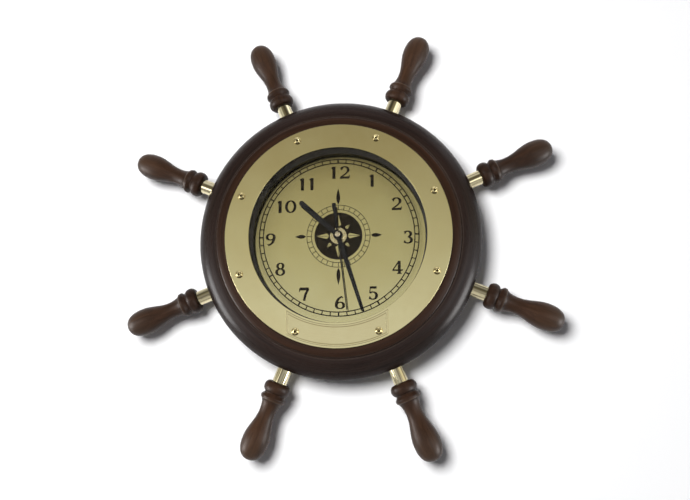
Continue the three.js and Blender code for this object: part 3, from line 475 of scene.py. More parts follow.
# Spokes: eight turned handles of the same wood, each on a polished brass tube with painted dark reflections.
# A bead, a sharp lipped collar and a waist lead to the swelling grip. The handle's tenon runs through the
# tube into the rim, glued.
tube_radius, tube_wall, tube_ease = 6.5 * mm, 1 * mm, 0.3 * mm
tube_root, tube_gap = 103.6 * mm, 0.1 * mm
handle_foot = 139.3 * mm
bead_length, bead_radius, bead_crown = 10 * mm, 11.7 * mm, 4 * mm
collar_length, groove_place, groove_radius = 6.8 * mm, 0.3 * mm, 8.9 * mm
lip_place, lip_radius, lip_ease = 3.2 * mm, 11.2 * mm, 0.7 * mm
arris_place, arris_radius, arris_step, arris_ease = 5.6 * mm, 10.7 * mm, 0.6 * mm, 0.15 * mm
neck_length, neck_sweep, neck_radius, waist_radius = 10.2 * mm, 11.3 * mm, 11.0 * mm, 7.2 * mm
swell_length, grip_radius, end_length, end_blunt = 25.2 * mm, 11.7 * mm, 17 * mm, 2.4
handle_grain_draw, handle_grain_step = 0.06, 0.37
handle_figure, handle_rough, handle_gloss = 300, (0.36, 0.46), 0.16
handle_light_stain = (0.0255, 0.012, 0.0063), (0.066, 0.0315, 0.0165)
handle_deep_stain = (0.014, 0.0068, 0.0041), (0.0355, 0.0173, 0.0099)
handle_shades = [0.9, 0.0, 0.4, 0.4, 0.6, 0.05, 0.35, 0.4]
handle_worn_highlight, arris_wear_highlight, bead_shade = (0.17, 0.115, 0.08), 0.35, 0.45
shade_start, shade_end = 2 * mm, 4 * mm
grip_wear_places, grip_wear_shares = (0.35, 0.75, 1.0), (0.0, 0.1, 0.25)
tube_colour, tube_painted_reflection = (0.74, 0.675, 0.45), (0.11, 0.08, 0.038)
dark_reflection_places, dark_reflection_widths, dark_reflection_shares = (-0.85, 0.05, 0.7), (0.16, 0.3, 0.14), (0.45, 0.8, 0.5)
dark_reflection_drift, drift_step = 0.15, 2.4

collar_foot = handle_foot + bead_length
neck_foot = collar_foot + collar_length
waist = neck_foot + neck_length
swell = waist + swell_length
rise = np.linspace(0, 1, 18)
sweep = np.linspace(0, np.pi / 2, 22)
grip = np.column_stack([
    waist_radius + (grip_radius - waist_radius) * (1 - np.cos(np.pi * rise)) / 2,
    waist + swell_length * rise,
])
blunt_end = np.column_stack([
    grip_radius * (1 - np.sin(sweep) ** end_blunt).clip(0) ** (1 / end_blunt),
    swell + end_length * np.sin(sweep),
])
handle_profile = np.concatenate([
    [[0, handle_foot]],
    arc(bead_radius - bead_crown, handle_foot + bead_length / 2, bead_crown, bead_length / 2, -90, 72, 14),
    eased([
        [groove_radius, collar_foot + groove_place], [lip_radius, collar_foot + lip_place],
        [arris_radius, collar_foot + arris_place],
        [arris_radius - arris_step, collar_foot + arris_place + arris_step / 2],
    ], np.array([lip_ease, lip_ease, arris_ease, arris_ease]), False),
    arc(neck_radius, waist, waist_radius - neck_radius, -neck_sweep, 70, 4, 12),
    grip,
    blunt_end[1:],
])
tube_section = oblong(tube_radius - tube_wall, tube_radius, tube_root, handle_foot - tube_gap)
tube_profile = eased(tube_section, tube_ease)


def brass(name, colour, drawn, least_rough, most_rough, relief=0.04):
    """Lacquered brass. Rubbing marks are noise drawn out by a scale in each direction; they set the roughness
    and a faint relief. A slow noise tones the metal towards brown."""
    material, tree, shader = finish(name, {"Metallic": 1.0})
    place = node(tree, "TexCoord").outputs["Object"]
    stretched = node(tree, "Mapping", {"Vector": place, "Scale": drawn}).outputs["Vector"]
    rubbing = noise(tree, stretched, 1.0, 4.0)
    tarnish = noise(tree, place, 22.0, 3.0)
    toned = tuple(np.array(colour) * (0.93, 0.90, 0.84))
    shown = ramp(tree, tarnish, [(0.3, toned), (0.7, colour)])
    rough = carried(tree, rubbing, 0.3, 0.7, least_rough, most_rough)
    feed(tree, shader, shown, rough, (rubbing, relief, 0.02 * mm))
    return material


def soiled(material, soil_and_shade):
    """Turns a metal towards a darker colour by as much as the attribute named dirt_and_shade says at each
    point; that colour is real soil in some places and painted shade and painted reflection in others.
    """
    tree = material.node_tree
    tone = tree.nodes["Principled BSDF"].inputs["Base Color"]
    dirt_and_shade = node(tree, "Attribute", attribute_name="dirt_and_shade").outputs["Fac"]
    tree.links.new(mixture(tree, dirt_and_shade, tone.links[0].from_socket, (*soil_and_shade, 1.0)), tone)


handle_wood = wood(
    "handle_wood", handle_light_stain, handle_deep_stain, handle_worn_highlight,
    handle_figure, *handle_rough, handle_gloss,
)
tube_brass = brass("tube_brass", tube_colour, (600, 600, 600), 0.04, 0.09)
soiled(tube_brass, tube_painted_reflection)
for number, angle in enumerate(spoke_angles, 1):
    axis = spoke_axis(angle)
    handle = piece(f"turned_handle_{number}", skin(turned(handle_profile, 72, axis, spoke_centre)))
    board = (spots(handle) - spoke_centre) @ axis.T
    store(handle, "grain", board * (handle_grain_draw, 1, 1) + handle_grain_step * number)
    turned_foot = np.interp(board[:, 0], [neck_foot - shade_start, neck_foot + shade_end], [bead_shade, 0.0])
    store(handle, "shade", (handle_shades[number - 1] + turned_foot).clip(0, 1))
    along_grip = (board[:, 0] - waist) / (swell + end_length - waist)
    grip_wear = np.interp(along_grip, grip_wear_places, grip_wear_shares)
    # Pale line along the collar's arris: worn stain and a painted highlight.
    from_arris = (board[:, 0] - collar_foot - arris_place) / arris_step
    store(handle, "wear_and_highlight", np.maximum(grip_wear, arris_wear_highlight * np.exp(-(from_arris ** 2))))
    seat(handle, handle_wood, "clock_body", "handle_wood", f"handle_{number}")
    tube = piece(f"brass_tube_{number}", skin(turned(tube_profile, 64, axis, spoke_centre), closed=True))
    # Painted reflections: brown streaks at the same places on every tube's front and sides stand for dark
    # reflections.
    outwards, sideways, to_room = ((spots(tube) - spoke_centre) @ axis.T).T
    turn = np.arctan2(sideways, to_room) + dark_reflection_drift * np.sin(drift_step * number)
    streaks = [
        share * np.exp(-(((turn - middle) / width) ** 2))
        for middle, width, share in zip(dark_reflection_places, dark_reflection_widths, dark_reflection_shares)
    ]
    store(tube, "dirt_and_shade", np.sum(streaks, 0))
    seat(tube, tube_brass, "clock_body", "tube_brass", f"spoke_tube_{number}")


# Dial: a thin brass sheet, lacquered, that lies on its board in the rim's recess. Painted shade darkens its
# edge, most at the top, as a deeper recess would. A dark wall stands round it and leans out to the glass.
dial_radius, bush_hole = 82 * mm, 4.2 * mm
dial_back, dial_front, dial_ease, wall_ease = 28.8 * mm, 29.6 * mm, 0.15 * mm, 0.25 * mm
dial_rings = np.arange(80, 6, -1) * mm
dial_colour, dial_painted_shade = (0.70, 0.62, 0.325), (0.045, 0.04, 0.028)
painted_shade_places = np.array([50, 60, 66, 70, 73, 74.5, 77]) * mm
painted_shade_shares = 0.0, 0.15, 0.3, 0.5, 0.85, 0.7, 0.2
painted_shade_mean, painted_shade_swing, painted_shade_side = 0.40, 0.36, np.radians(105)
wall_foot, wall_bore, wall_back, wall_front = 77.4 * mm, 79.4 * mm, 29.7 * mm, 39.4 * mm
wall_dark, wall_worn = (0.034, 0.031, 0.029), (0.054, 0.049, 0.046)

dial_profile = np.concatenate([
    [[bush_hole, dial_back], [dial_radius, dial_back], [dial_radius, dial_front]],
    np.column_stack([dial_rings, np.full_like(dial_rings, dial_front)]),
    [[bush_hole, dial_front]],
])
dial = piece("dial", skin(turned(eased(dial_profile, dial_ease), 192), closed=True))
place = spots(dial)
# Painted shade: the colour darkens towards the edge, most at the top, standing for a deeper recess's shade.
toward = np.arctan2(place[:, 2], place[:, 0]) - painted_shade_side
dial_edge_shade = np.interp(np.hypot(place[:, 0], place[:, 2]), painted_shade_places, painted_shade_shares)
store(dial, "dirt_and_shade", dial_edge_shade * (painted_shade_mean + painted_shade_swing * np.cos(toward)))
dial_brass = brass("dial_brass", dial_colour, (90, 90, 1400), 0.08, 0.12)
soiled(dial_brass, dial_painted_shade)
seat(dial, dial_brass, "clock_body", "dial_brass", "dial_plate")

spacer_profile = eased([
    [wall_foot, wall_back], [dial_radius, wall_back], [dial_radius, wall_front], [wall_bore, wall_front],
], wall_ease)
spacer = piece("dark_wall", skin(turned(spacer_profile, 192), closed=True))


def moulded(name, dark, pale, grain_scale, rough, depth=0.02 * mm, gloss=0.5):
    """Moulded or painted stuff: a fine grain in relief, and a slow change of tone between two colours."""
    material, tree, shader = finish(name, {"Roughness": rough, "Specular IOR Level": gloss})
    place = node(tree, "TexCoord").outputs["Object"]
    tone = ramp(tree, noise(tree, place, grain_scale / 12, 3.0), [(0.3, dark), (0.7, pale)])
    feed(tree, shader, tone, relief=(noise(tree, place, grain_scale, 2.0), 0.2, depth))
    return material


dark_wall = moulded("dark_wall", wall_dark, wall_worn, 900, 0.9, gloss=0.05)
seat(spacer, dark_wall, "clock_body", "dark_wall", "spacer_ring")


# Dial print: a minute track between two fine rings, upright numbers with thick and thin strokes, and a plain
# compass rose, all in one dark ink that stands a hair above the brass. Each stroke that crosses another is
# lifted a little, and numbers are nudged as on a hand set dial.
ink_thickness, ink_sink, stroke_lift = 0.05 * mm, 0.01 * mm, 0.002 * mm
track_outer, track_inner, track_line = 71.7 * mm, 68.1 * mm, 0.95 * mm
tick_line, hour_tick_line = 0.9 * mm, 1.3 * mm
numeral_height, numeral_circle = 11.5 * mm, 60 * mm
numeral_thick, numeral_thin = 0.22, 0.09
numeral_nudges = {
    1: (0.7, -1.5), 2: (0.4, -1.8), 3: (1.9, -2.6), 4: (0.3, 0.4), 5: (0.3, 0.1), 6: (1.3, 0.3),
    7: (-0.5, 0.0), 8: (-0.2, 0.8), 9: (-1.5, -2.1), 10: (3.5, -1.7), 11: (1.3, -3.0), 12: (0.9, -0.9),
}
figure_gaps = {10: 0.87, 11: 0.76, 12: 0.87}
ink_dark, ink_pale = (0.0045, 0.003, 0.0014), (0.012, 0.0085, 0.0045)
rose_disc, rose_hole, rose_waist, field_lap = 21.5 * mm, 4.0 * mm, 10.5 * mm, 0.02 * mm
long_blade, short_blade = (8.2 * mm, 20.3 * mm, 14.0), (9.0 * mm, 15.2 * mm, 8.0)
blade_line = 0.4 * mm
rose_rings, rose_ring_line = (24.2 * mm, 28.4 * mm), 0.5 * mm
rose_ticks, rose_tick_line = 32, 0.55 * mm
pointer_foot, long_pointer, short_pointer = 29.4 * mm, 44 * mm, 39 * mm
pointer_half, pointer_tip, pointer_lean = 1.7 * mm, 0.05 * mm, 0.75

ink_back = dial_front - ink_sink
ink_front = dial_front + ink_thickness


def ribbon(path, half_width, lift=0.0):
    """A flat stroke of ink: a rectangle carried along a path on the face, as wide as the half width at each
    point and square to the path, closed at both ends."""
    path = np.asarray(path, float)
    heading = np.gradient(path, axis=0)
    heading /= np.linalg.norm(heading, axis=1)[:, None]
    side = np.column_stack([-heading[:, 1], heading[:, 0]]) * np.broadcast_to(half_width, len(path))[:, None]
    rows = np.stack([path + side, path - side, path - side, path + side], 1)
    rows = np.concatenate([np.repeat(path[:1, None], 4, 1), rows, np.repeat(path[-1:, None], 4, 1)])
    depth = np.broadcast_to([ink_back, ink_back, ink_front + lift, ink_front + lift], rows.shape[:2]).copy()
    depth[0] = depth[-1] = (ink_back + ink_front + lift) / 2
    return skin(np.stack([rows[..., 0], -depth, rows[..., 1]], -1))


def curve(x, y, wide, tall, start, end, steps=28):
    """A stroke's path along part of an oval, from one angle in degrees to another."""
    angle = np.radians(np.linspace(start, end, steps))
    return np.column_stack([x + wide * np.cos(angle), y + tall * np.sin(angle)])


def line(*points):
    """A stroke's path straight through a few points."""
    points = np.asarray(points, float)
    t = np.linspace(0, len(points) - 1, 6 * (len(points) - 1) + 1)
    return np.column_stack([np.interp(t, np.arange(len(points)), points[:, i]) for i in range(2)])


def ball(x, y, radius=0.055):
    """A round stroke end, as a stroke that turns about the middle of the ball's half radius."""
    return curve(x, y, radius / 2, radius / 2, 0, 360, 16), radius / numeral_thick


# Each figure stands one unit high on its base line, about its own middle. A stroke is a path and a weight.
six = [
    (curve(0.0, 0.275, 0.285, 0.24, 0, 360, 48), 1.0),
    (curve(0.29, 0.31, 0.575, 0.645, 180, 101), 1.0),
    ball(0.20, 0.865),
]
figures = {
    "0": [(curve(0, 0.5, 0.345, 0.465, 0, 360, 56), 1.0)],
    "1": [(line((0.02, 0), (0.02, 1)), 1.15), (line((-0.17, 0.84), (0.0, 0.955)), 0.8)],
    "2": [
        (curve(0, 0.70, 0.285, 0.265, 160, -32), 1.0),
        (line((0.24, 0.56), (0.05, 0.36), (-0.33, 0.10)), 0.75),
        (line((-0.36, 0.075), (0.37, 0.075)), 2.0),
        (line((0.345, 0.05), (0.385, 0.26)), 0.4),
        ball(-0.225, 0.745, 0.07),
    ],
    "3": [
        (curve(-0.03, 0.75, 0.25, 0.215, 150, -80), 1.0),
        (curve(-0.03, 0.27, 0.295, 0.24, 85, -150), 1.0),
        ball(-0.215, 0.80, 0.065), ball(-0.255, 0.185, 0.07),
    ],
    "4": [
        (line((0.10, 0.98), (-0.37, 0.30)), 0.5),
        (line((-0.40, 0.285), (0.39, 0.285)), 1.25),
        (line((0.12, 0), (0.12, 1)), 1.0),
        (line((-0.06, 0.03), (0.30, 0.03)), 0.85),
    ],
    "5": [
        (line((-0.22, 0.925), (0.28, 0.925)), 2.0),
        (line((-0.205, 0.97), (-0.24, 0.48)), 0.34),
        (curve(-0.02, 0.305, 0.29, 0.275, 130, -150), 1.0),
        ball(-0.245, 0.19, 0.07),
    ],
    "6": six,
    "7": [
        (line((-0.33, 0.905), (0.36, 0.905)), 2.5),
        (line((-0.325, 0.96), (-0.36, 0.70)), 0.4),
        (line((0.325, 0.90), (0.11, 0.5), (0.0, 0.0)), 0.9),
    ],
    "8": [
        (curve(0, 0.75, 0.225, 0.215, 0, 360, 48), 0.9),
        (curve(0, 0.275, 0.285, 0.24, 0, 360, 48), 1.0),
    ],
    "9": [((0, 1) - path, weight) for path, weight in six],
}


def printed(figure, x, y):
    """The strokes of one figure on the dial, thick where they run upright and thin where they run level."""
    for order, (path, weight) in enumerate(figures[figure]):
        heading = np.gradient(path, axis=0)
        upright = np.abs(heading[:, 1]) / np.linalg.norm(heading, axis=1)
        width = weight * (numeral_thin + (numeral_thick - numeral_thin) * upright ** 1.5) / 2
        yield ribbon((path - (0, 0.5)) * numeral_height + (x, y), width * numeral_height, order * stroke_lift)


def bearing(turns):
    """The direction on the face at a share of a turn clockwise from twelve."""
    return np.array([np.sin(2 * np.pi * turns), np.cos(2 * np.pi * turns)])


strokes = []
for hour, nudge in numeral_nudges.items():
    text = str(hour)
    x, y = numeral_circle * bearing(hour / 12) + np.array(nudge) * mm
    gap = figure_gaps.get(hour, 0) * numeral_height
    for order, figure in enumerate(text):
        strokes += printed(figure, x + gap * (order - (len(text) - 1) / 2), y)
numerals = piece("dial_numerals", *strokes)


def printed_ring(radius, width):
    """A fine printed ring of ink."""
    section = oblong(radius - width / 2, radius + width / 2, ink_back, ink_front)
    return skin(turned(section, 240), closed=True)


ticks = []
for minute in range(60):
    way = bearing(minute / 60)
    width = tick_line if minute % 5 else hour_tick_line
    ticks.append(ribbon([way * track_inner, way * track_outer], width / 2, stroke_lift))
rings = [printed_ring(radius, track_line) for radius in (track_outer, track_inner)]
track = piece("minute_track", *rings, *ticks)


def blade_edge(angle, end):
    """The rose's blades as radii at each angle: a straight edge in polar form from a blade's inner or outer
    end to its widest place at the waist, for long and short blades in turn, and the waist between blades."""
    eighth = np.pi / 4
    turn = np.abs((angle + eighth / 2) % eighth - eighth / 2)
    long_turn = np.round(angle / eighth) % 2 == 0
    point = np.where(long_turn, long_blade[end], short_blade[end])
    spread = np.radians(np.where(long_turn, long_blade[2], short_blade[2]))
    within = np.minimum(turn, spread)
    slant = point * np.sin(within) + rose_waist * np.sin(spread - within)
    return point * rose_waist * np.sin(spread) / slant


def inked(angle, inner, outer):
    """A closed ring of ink between two radii that change with the angle."""
    way = np.column_stack([np.sin(angle), np.cos(angle)])
    inside, outside = way * inner[:, None], way * outer[:, None]
    rows = np.stack([inside, outside, outside, inside], 1)
    depth = np.broadcast_to([ink_back, ink_back, ink_front, ink_front], rows.shape[:2])
    return skin(np.stack([rows[..., 0], -depth, rows[..., 1]], -1), closed=True)


full_turn = circle(720)
even_radius = np.ones_like(full_turn)
fields = [
    inked(full_turn, rose_hole * even_radius, blade_edge(full_turn, 0) + field_lap),
    inked(full_turn, blade_edge(full_turn, 1), rose_disc * even_radius),
]
details = [printed_ring(radius, rose_ring_line) for radius in rose_rings]
for step in range(8):
    way = bearing(step / 8)
    inner, outer = (short_blade if step % 2 else long_blade)[:2]
    details.append(ribbon([way * inner, way * outer], blade_line / 2, stroke_lift))
for step in range(rose_ticks):
    way = bearing(step / rose_ticks)
    details.append(ribbon([way * rose_rings[0], way * rose_rings[1]], rose_tick_line / 2, stroke_lift))
along = np.linspace(0, 1, 16)
for quarter in range(4):
    tip = short_pointer if quarter % 2 else long_pointer
    reach = pointer_foot + (tip - pointer_foot) * along
    leaf = pointer_half * np.sin(np.pi * along ** pointer_lean) + pointer_tip
    details.append(ribbon(reach[:, None] * bearing(quarter / 4), leaf))
rose = piece("compass_rose", *fields, *details)

dial_ink = moulded("dial_ink", ink_dark, ink_pale, 2500, 0.5, 0.005 * mm, 0.08)
for printed_piece in (numerals, track, rose):
    seat(printed_piece, dial_ink, "clock_body", "hand_black")


# Hands: thin pressed metal in satin black. The hour hand is a broad bar with a round end, the minute hand a
# long taper, the second hand a needle with a flared tail under a small brass cap. Each is pressed on its own
# tube.
hour_back, minute_back, second_back, hand_thickness = 33.4 * mm, 34.8 * mm, 36.2 * mm, 0.6 * mm
hour_length, hour_half, hour_hub, hour_bore = 46.7 * mm, 2.3 * mm, 4.2 * mm, 2.58 * mm
minute_length, minute_root_half, minute_tip_half = 70.3 * mm, 2.2 * mm, 1.3 * mm
minute_hub, minute_bore, minute_nib = 3.8 * mm, 1.58 * mm, (0.5 * mm, 0.4 * mm)
second_length, second_half, second_taper = 67.4 * mm, 0.5 * mm, 0.8
tail_length, tail_half, tail_nib = 28.7 * mm, 1.8 * mm, (0.4 * mm, 0.3 * mm)
second_hub, second_bore, second_sink, second_proud = 2.6 * mm, 0.6 * mm, 0.35 * mm, 0.5 * mm
boss_sink, boss_proud, least_half = 0.05 * mm, 0.1 * mm, 0.02 * mm
cap_front, cap_radius, cap_skirt, cap_colour = 38.0 * mm, 2.35 * mm, 0.5 * mm, (0.72, 0.62, 0.44)
dimple_radius, dimple_lip, dimple_floor = 0.5 * mm, 0.25 * mm, 0.28 * mm
hour_angle, minute_angle, second_angle = np.radians([312.5, 162.5, 173.3])
hand_dark, hand_worn = (0.0045, 0.0042, 0.004), (0.012, 0.0112, 0.0105)
hand_section = np.array([[-1, 0], [-1, 0.55], [-0.78, 1], [0.78, 1], [1, 0.55], [1, 0]])


def blade(along, half_width, back, angle):
    """A hand's blade: a flat section with chamfered front edges carried along the hand, scaled to the half
    width at each step, closed at both ends and turned clockwise from twelve."""
    across = hand_section[:, 0] * half_width[:, None]
    depth = np.broadcast_to(back + hand_section[:, 1] * hand_thickness, across.shape)
    up = np.broadcast_to(along[:, None], across.shape)
    x, z = across * np.cos(angle) + up * np.sin(angle), up * np.cos(angle) - across * np.sin(angle)
    grid = np.stack([x, -depth, z], -1)
    ends = [np.repeat(row.mean(0)[None, None], len(hand_section), 1) for row in (grid[0], grid[-1])]
    return skin(np.concatenate([ends[0], grid, ends[1]]))


def boss(radius, back, front, ease=0.2 * mm, bore=0.0):
    """A hand's round boss, with an eased front edge and an optional bore."""
    profile = eased(oblong(bore, radius, back, front), ease, closed=bore > 0)
    return skin(turned(profile, 64), closed=bore > 0)


hand_black = moulded("hand_black", hand_dark, hand_worn, 1800, 0.42, 0.008 * mm, 0.15)
tip = hour_half * np.sin(np.linspace(0, np.pi / 2, 14))
hour_along = np.concatenate([[0], hour_length - hour_half + tip])
hour_width = np.concatenate([[hour_half], np.sqrt(np.maximum(hour_half ** 2 - tip ** 2, least_half ** 2))])
hour_hand = piece(
    "hour_bar", blade(hour_along, hour_width, hour_back, hour_angle),
    boss(hour_hub, hour_back - boss_sink, hour_back + hand_thickness + boss_proud, bore=hour_bore),
)
seat(hour_hand, hand_black, "hour", "hand_black", "hour_hand")

minute_along = np.array([0, minute_length - minute_nib[0], minute_length])
minute_width = np.array([minute_root_half, minute_tip_half, minute_tip_half - minute_nib[1]])
minute_hand = piece(
    "minute_taper", blade(minute_along, minute_width, minute_back, minute_angle),
    boss(minute_hub, minute_back - boss_sink, minute_back + hand_thickness + boss_proud, bore=minute_bore),
)
seat(minute_hand, hand_black, "minute", "hand_black", "minute_hand")

second_along = np.array([-tail_length, -tail_length + tail_nib[0], 0, second_length])
second_width = np.array([tail_half - tail_nib[1], tail_half, second_half, second_half * second_taper])
second_boss = second_back - second_sink, second_back + hand_thickness + second_proud
second_hand = piece(
    "second_needle", blade(second_along, second_width, second_back, second_angle),
    boss(second_hub, *second_boss, bore=second_bore),
)
seat(second_hand, hand_black, "second", "hand_black", "second_hand")

cap_foot = second_back + hand_thickness
cap_shoulder = cap_foot + cap_skirt
cap_profile = np.concatenate([
    [[0, cap_foot], [cap_radius, cap_foot]],
    arc(0, cap_shoulder, cap_radius, cap_front - cap_shoulder, 0, 72, 10),
    [[dimple_radius, cap_front - dimple_lip], [0, cap_front - dimple_floor]],
])
cap = piece("second_cap", skin(turned(cap_profile, 48)))
cap_brass = brass("cap_brass", cap_colour, (900, 900, 900), 0.22, 0.34)
seat(cap, cap_brass, "second", "nut_brass")


# Nut and washer: a six sided brass nut, cut from bar and chamfered at both faces, and a thin brass washer.
# Screwed on the movement's threaded bush, they clamp the movement to the dial.
nut_radius, nut_back, nut_front, nut_bore = 6.4 * mm, 30.3 * mm, 32.3 * mm, 4.15 * mm
nut_chamfer = 0.45 * mm
washer_radius, washer_back, washer_front, washer_ease = 7.5 * mm, 29.7 * mm, 30.2 * mm, 0.1 * mm
nut_colour = (0.76, 0.66, 0.40)

turn = circle(96)
flat_share = np.cos(np.pi / 6) / np.cos((turn + np.pi / 6) % (np.pi / 3) - np.pi / 6)
nut_flat = nut_radius * np.cos(np.pi / 6)
nut_sides = [
    (nut_bore, nut_back), (nut_flat, nut_back),
    (nut_radius * flat_share, nut_back + nut_chamfer), (nut_radius * flat_share, nut_front - nut_chamfer),
    (nut_flat, nut_front), (nut_bore, nut_front),
]
nut_grid = np.stack([
    np.column_stack([radius * np.cos(turn), np.full_like(turn, -depth), radius * np.sin(turn)])
    for radius, depth in nut_sides
])
nut_brass = brass("nut_brass", nut_colour, (700, 700, 700), 0.2, 0.32)
nut = piece("hexagon_nut", skin(nut_grid, closed=True), crease=20)
seat(nut, nut_brass, "clock_body", "nut_brass", "mounting_nut")
washer = piece("thin_washer", boss(washer_radius, washer_back, washer_front, washer_ease, nut_bore))
seat(washer, nut_brass, "clock_body", "nut_brass", "dial_washer")


# Glass: one flat clear pane, cut round, that rests on the dark wall and is held at its edge by the bezel. It
# bends light less than real glass, so that the print stays clear, and lets lamplight through to the dial.
pane_radius, pane_back, pane_front, pane_ease = 82 * mm, 39.5 * mm, 41.5 * mm, 0.3 * mm
pane_tint, pane_bend = (0.97, 0.985, 0.975, 1.0), 1.15

pane_profile = eased(oblong(0, pane_radius, pane_back, pane_front), pane_ease, False)
pane = piece("glass_pane", skin(turned(pane_profile, 160)))
clear_glass, tree, shader = finish("clear_glass", {
    "Base Color": pane_tint, "Transmission Weight": 1.0, "IOR": pane_bend, "Roughness": 0.0,
})
rays = node(tree, "LightPath").outputs
passing = node(tree, "BsdfTransparent").outputs["BSDF"]
lit = node(tree, "MixShader", {0: rays["Is Shadow Ray"], 1: shader.outputs["BSDF"], 2: passing})
tree.links.new(lit.outputs["Shader"], tree.nodes["Material Output"].inputs["Surface"])
seat(pane, clear_glass, "clock_body", "clear_glass", "glass")


# Bezel: a flat ring of polished brass sheet with painted shade on its back and edges, screwed down over the
# glass and the rim's rabbet. A bare brass plaque with a fine engraved border lies over its lower part.
bezel_hole, bezel_radius = 78.4 * mm, 100 * mm
bezel_back, bezel_front = 41.6 * mm, 44.0 * mm
bezel_edge, bezel_lip, bezel_foot = 0.4 * mm, 0.2 * mm, 0.1 * mm
bezel_colour, bezel_painted_shade, edge_shade_share = (0.76, 0.685, 0.38), (0.012, 0.011, 0.01), 0.9
plaque_half, plaque_outer, plaque_inner = 43.5 * mm, 98.2 * mm, 80.2 * mm
plaque_back, plaque_front = 44.1 * mm, 44.9 * mm
plaque_round, border_inset, border_line, border_depth = 0.06 * mm, 1.7 * mm, 0.22 * mm, 0.1 * mm
plaque_colour, plaque_soil_and_shadow = (0.75, 0.67, 0.38), (0.16, 0.12, 0.05)
plaque_edge_shadow, groove_soil, plaque_edge_shadow_width = 0.9, 0.35, 0.3 * mm

bezel_section = oblong(bezel_hole, bezel_radius, bezel_back, bezel_front)
bezel_profile = eased(bezel_section, np.array([bezel_foot, bezel_foot, bezel_edge, bezel_lip]), steps=7)
bezel = piece("bezel", skin(turned(bezel_profile, 256), closed=True))
place = spots(bezel)
# Painted shade: the back face is dark, and the rounded edges darken towards the hole and the rim.
behind = place[:, 1] > -bezel_back - bezel_foot
radius = np.hypot(place[:, 0], place[:, 2])
edgeward = 1 + np.maximum((radius - bezel_radius) / bezel_edge, (bezel_hole - radius) / bezel_lip)
store(bezel, "dirt_and_shade", np.maximum(behind, edge_shade_share * edgeward.clip(0, 1)))
bezel_brass = brass("bezel_brass", bezel_colour, (160, 160, 160), 0.13, 0.19, 0.02)
soiled(bezel_brass, bezel_painted_shade)
seat(bezel, bezel_brass, "clock_body", "bezel_brass", "bezel_ring")

across, down = np.meshgrid(np.linspace(-1, 1, 361), np.linspace(0, 1, 81))
plaque_x = plaque_half * across
inner_edge, outer_edge = (-np.sqrt(radius ** 2 - plaque_x ** 2) for radius in (plaque_inner, plaque_outer))
plaque_z = inner_edge + (outer_edge - inner_edge) * down
radius = np.hypot(plaque_x, plaque_z)
to_sides = np.minimum(radius - plaque_inner, plaque_outer - radius)
edge = np.minimum(to_sides, plaque_half - np.abs(plaque_x)).clip(0)
fall = plaque_round - np.sqrt(np.maximum(plaque_round ** 2 - (plaque_round - edge).clip(0) ** 2, 0))
groove = border_depth * np.exp(-(((edge - border_inset) / border_line) ** 2))
plaque_grid = np.stack([plaque_x, fall + groove - plaque_front, plaque_z], -1)
plaque = piece("bare_plaque", skin(plaque_grid, ring=False), crease=60)
sheet = plaque.modifiers.new("sheet", "SOLIDIFY")
sheet.thickness, sheet.offset = plaque_front - plaque_back - plaque_round, -1.0
# Painted shadow along the plaque's edge, and real soil in the engraved groove.
soil_and_shade = plaque_edge_shadow * np.exp(-((edge / plaque_edge_shadow_width) ** 2)) + groove_soil * groove / border_depth
store(plaque, "dirt_and_shade", soil_and_shade.ravel())
plaque_brass = brass("plaque_brass", plaque_colour, (160, 160, 1200), 0.16, 0.23)
soiled(plaque_brass, plaque_soil_and_shadow)
seat(plaque, plaque_brass, "clock_body", "plaque_brass", "plaque_plate")


# Bezel screws: round headed brass wood screws with a cross recess, one on each spoke's line. The two lowest
# go through the plaque as well and stand a little prouder. Recesses are darkened; lower flanks get painted
# shade.
screw_circle, head_radius, head_height, head_rim = 92.7 * mm, 3.3 * mm, 2.0 * mm, 0.4 * mm
shank_radius, screw_reach, screw_point = 1.7 * mm, 15 * mm, 3.4 * mm
recess_half_width, recess_half_length, recess_depth = 0.55 * mm, 1.35 * mm, 0.9 * mm
recess_soft, recess_taper, screw_twist = 0.045 * mm, 0.55, 1.9
seat_gap = 0.1 * mm
screw_colour, recess_dark_flank_shade = (0.88, 0.76, 0.40), (0.06, 0.042, 0.014)
flank_shade_places, flank_shade_shares = (0.5, 0.75, 1.0), (0.0, 0.9, 0.97)
flank_shade_low, flank_shade_high, recess_darkening = -0.3, 0.6, 1.6


def within(distance, limit, soft):
    """A share that falls from one to nought past a limit, as a logistic curve of a soft width."""
    return 1 / (1 + np.exp((distance - limit) / soft))


def domed(distance):
    """How far a round head rises above its straight edge at a distance from its middle, as an oval does."""
    return (head_height - head_rim) * np.sqrt((1 - (distance / head_radius) ** 2).clip(0))


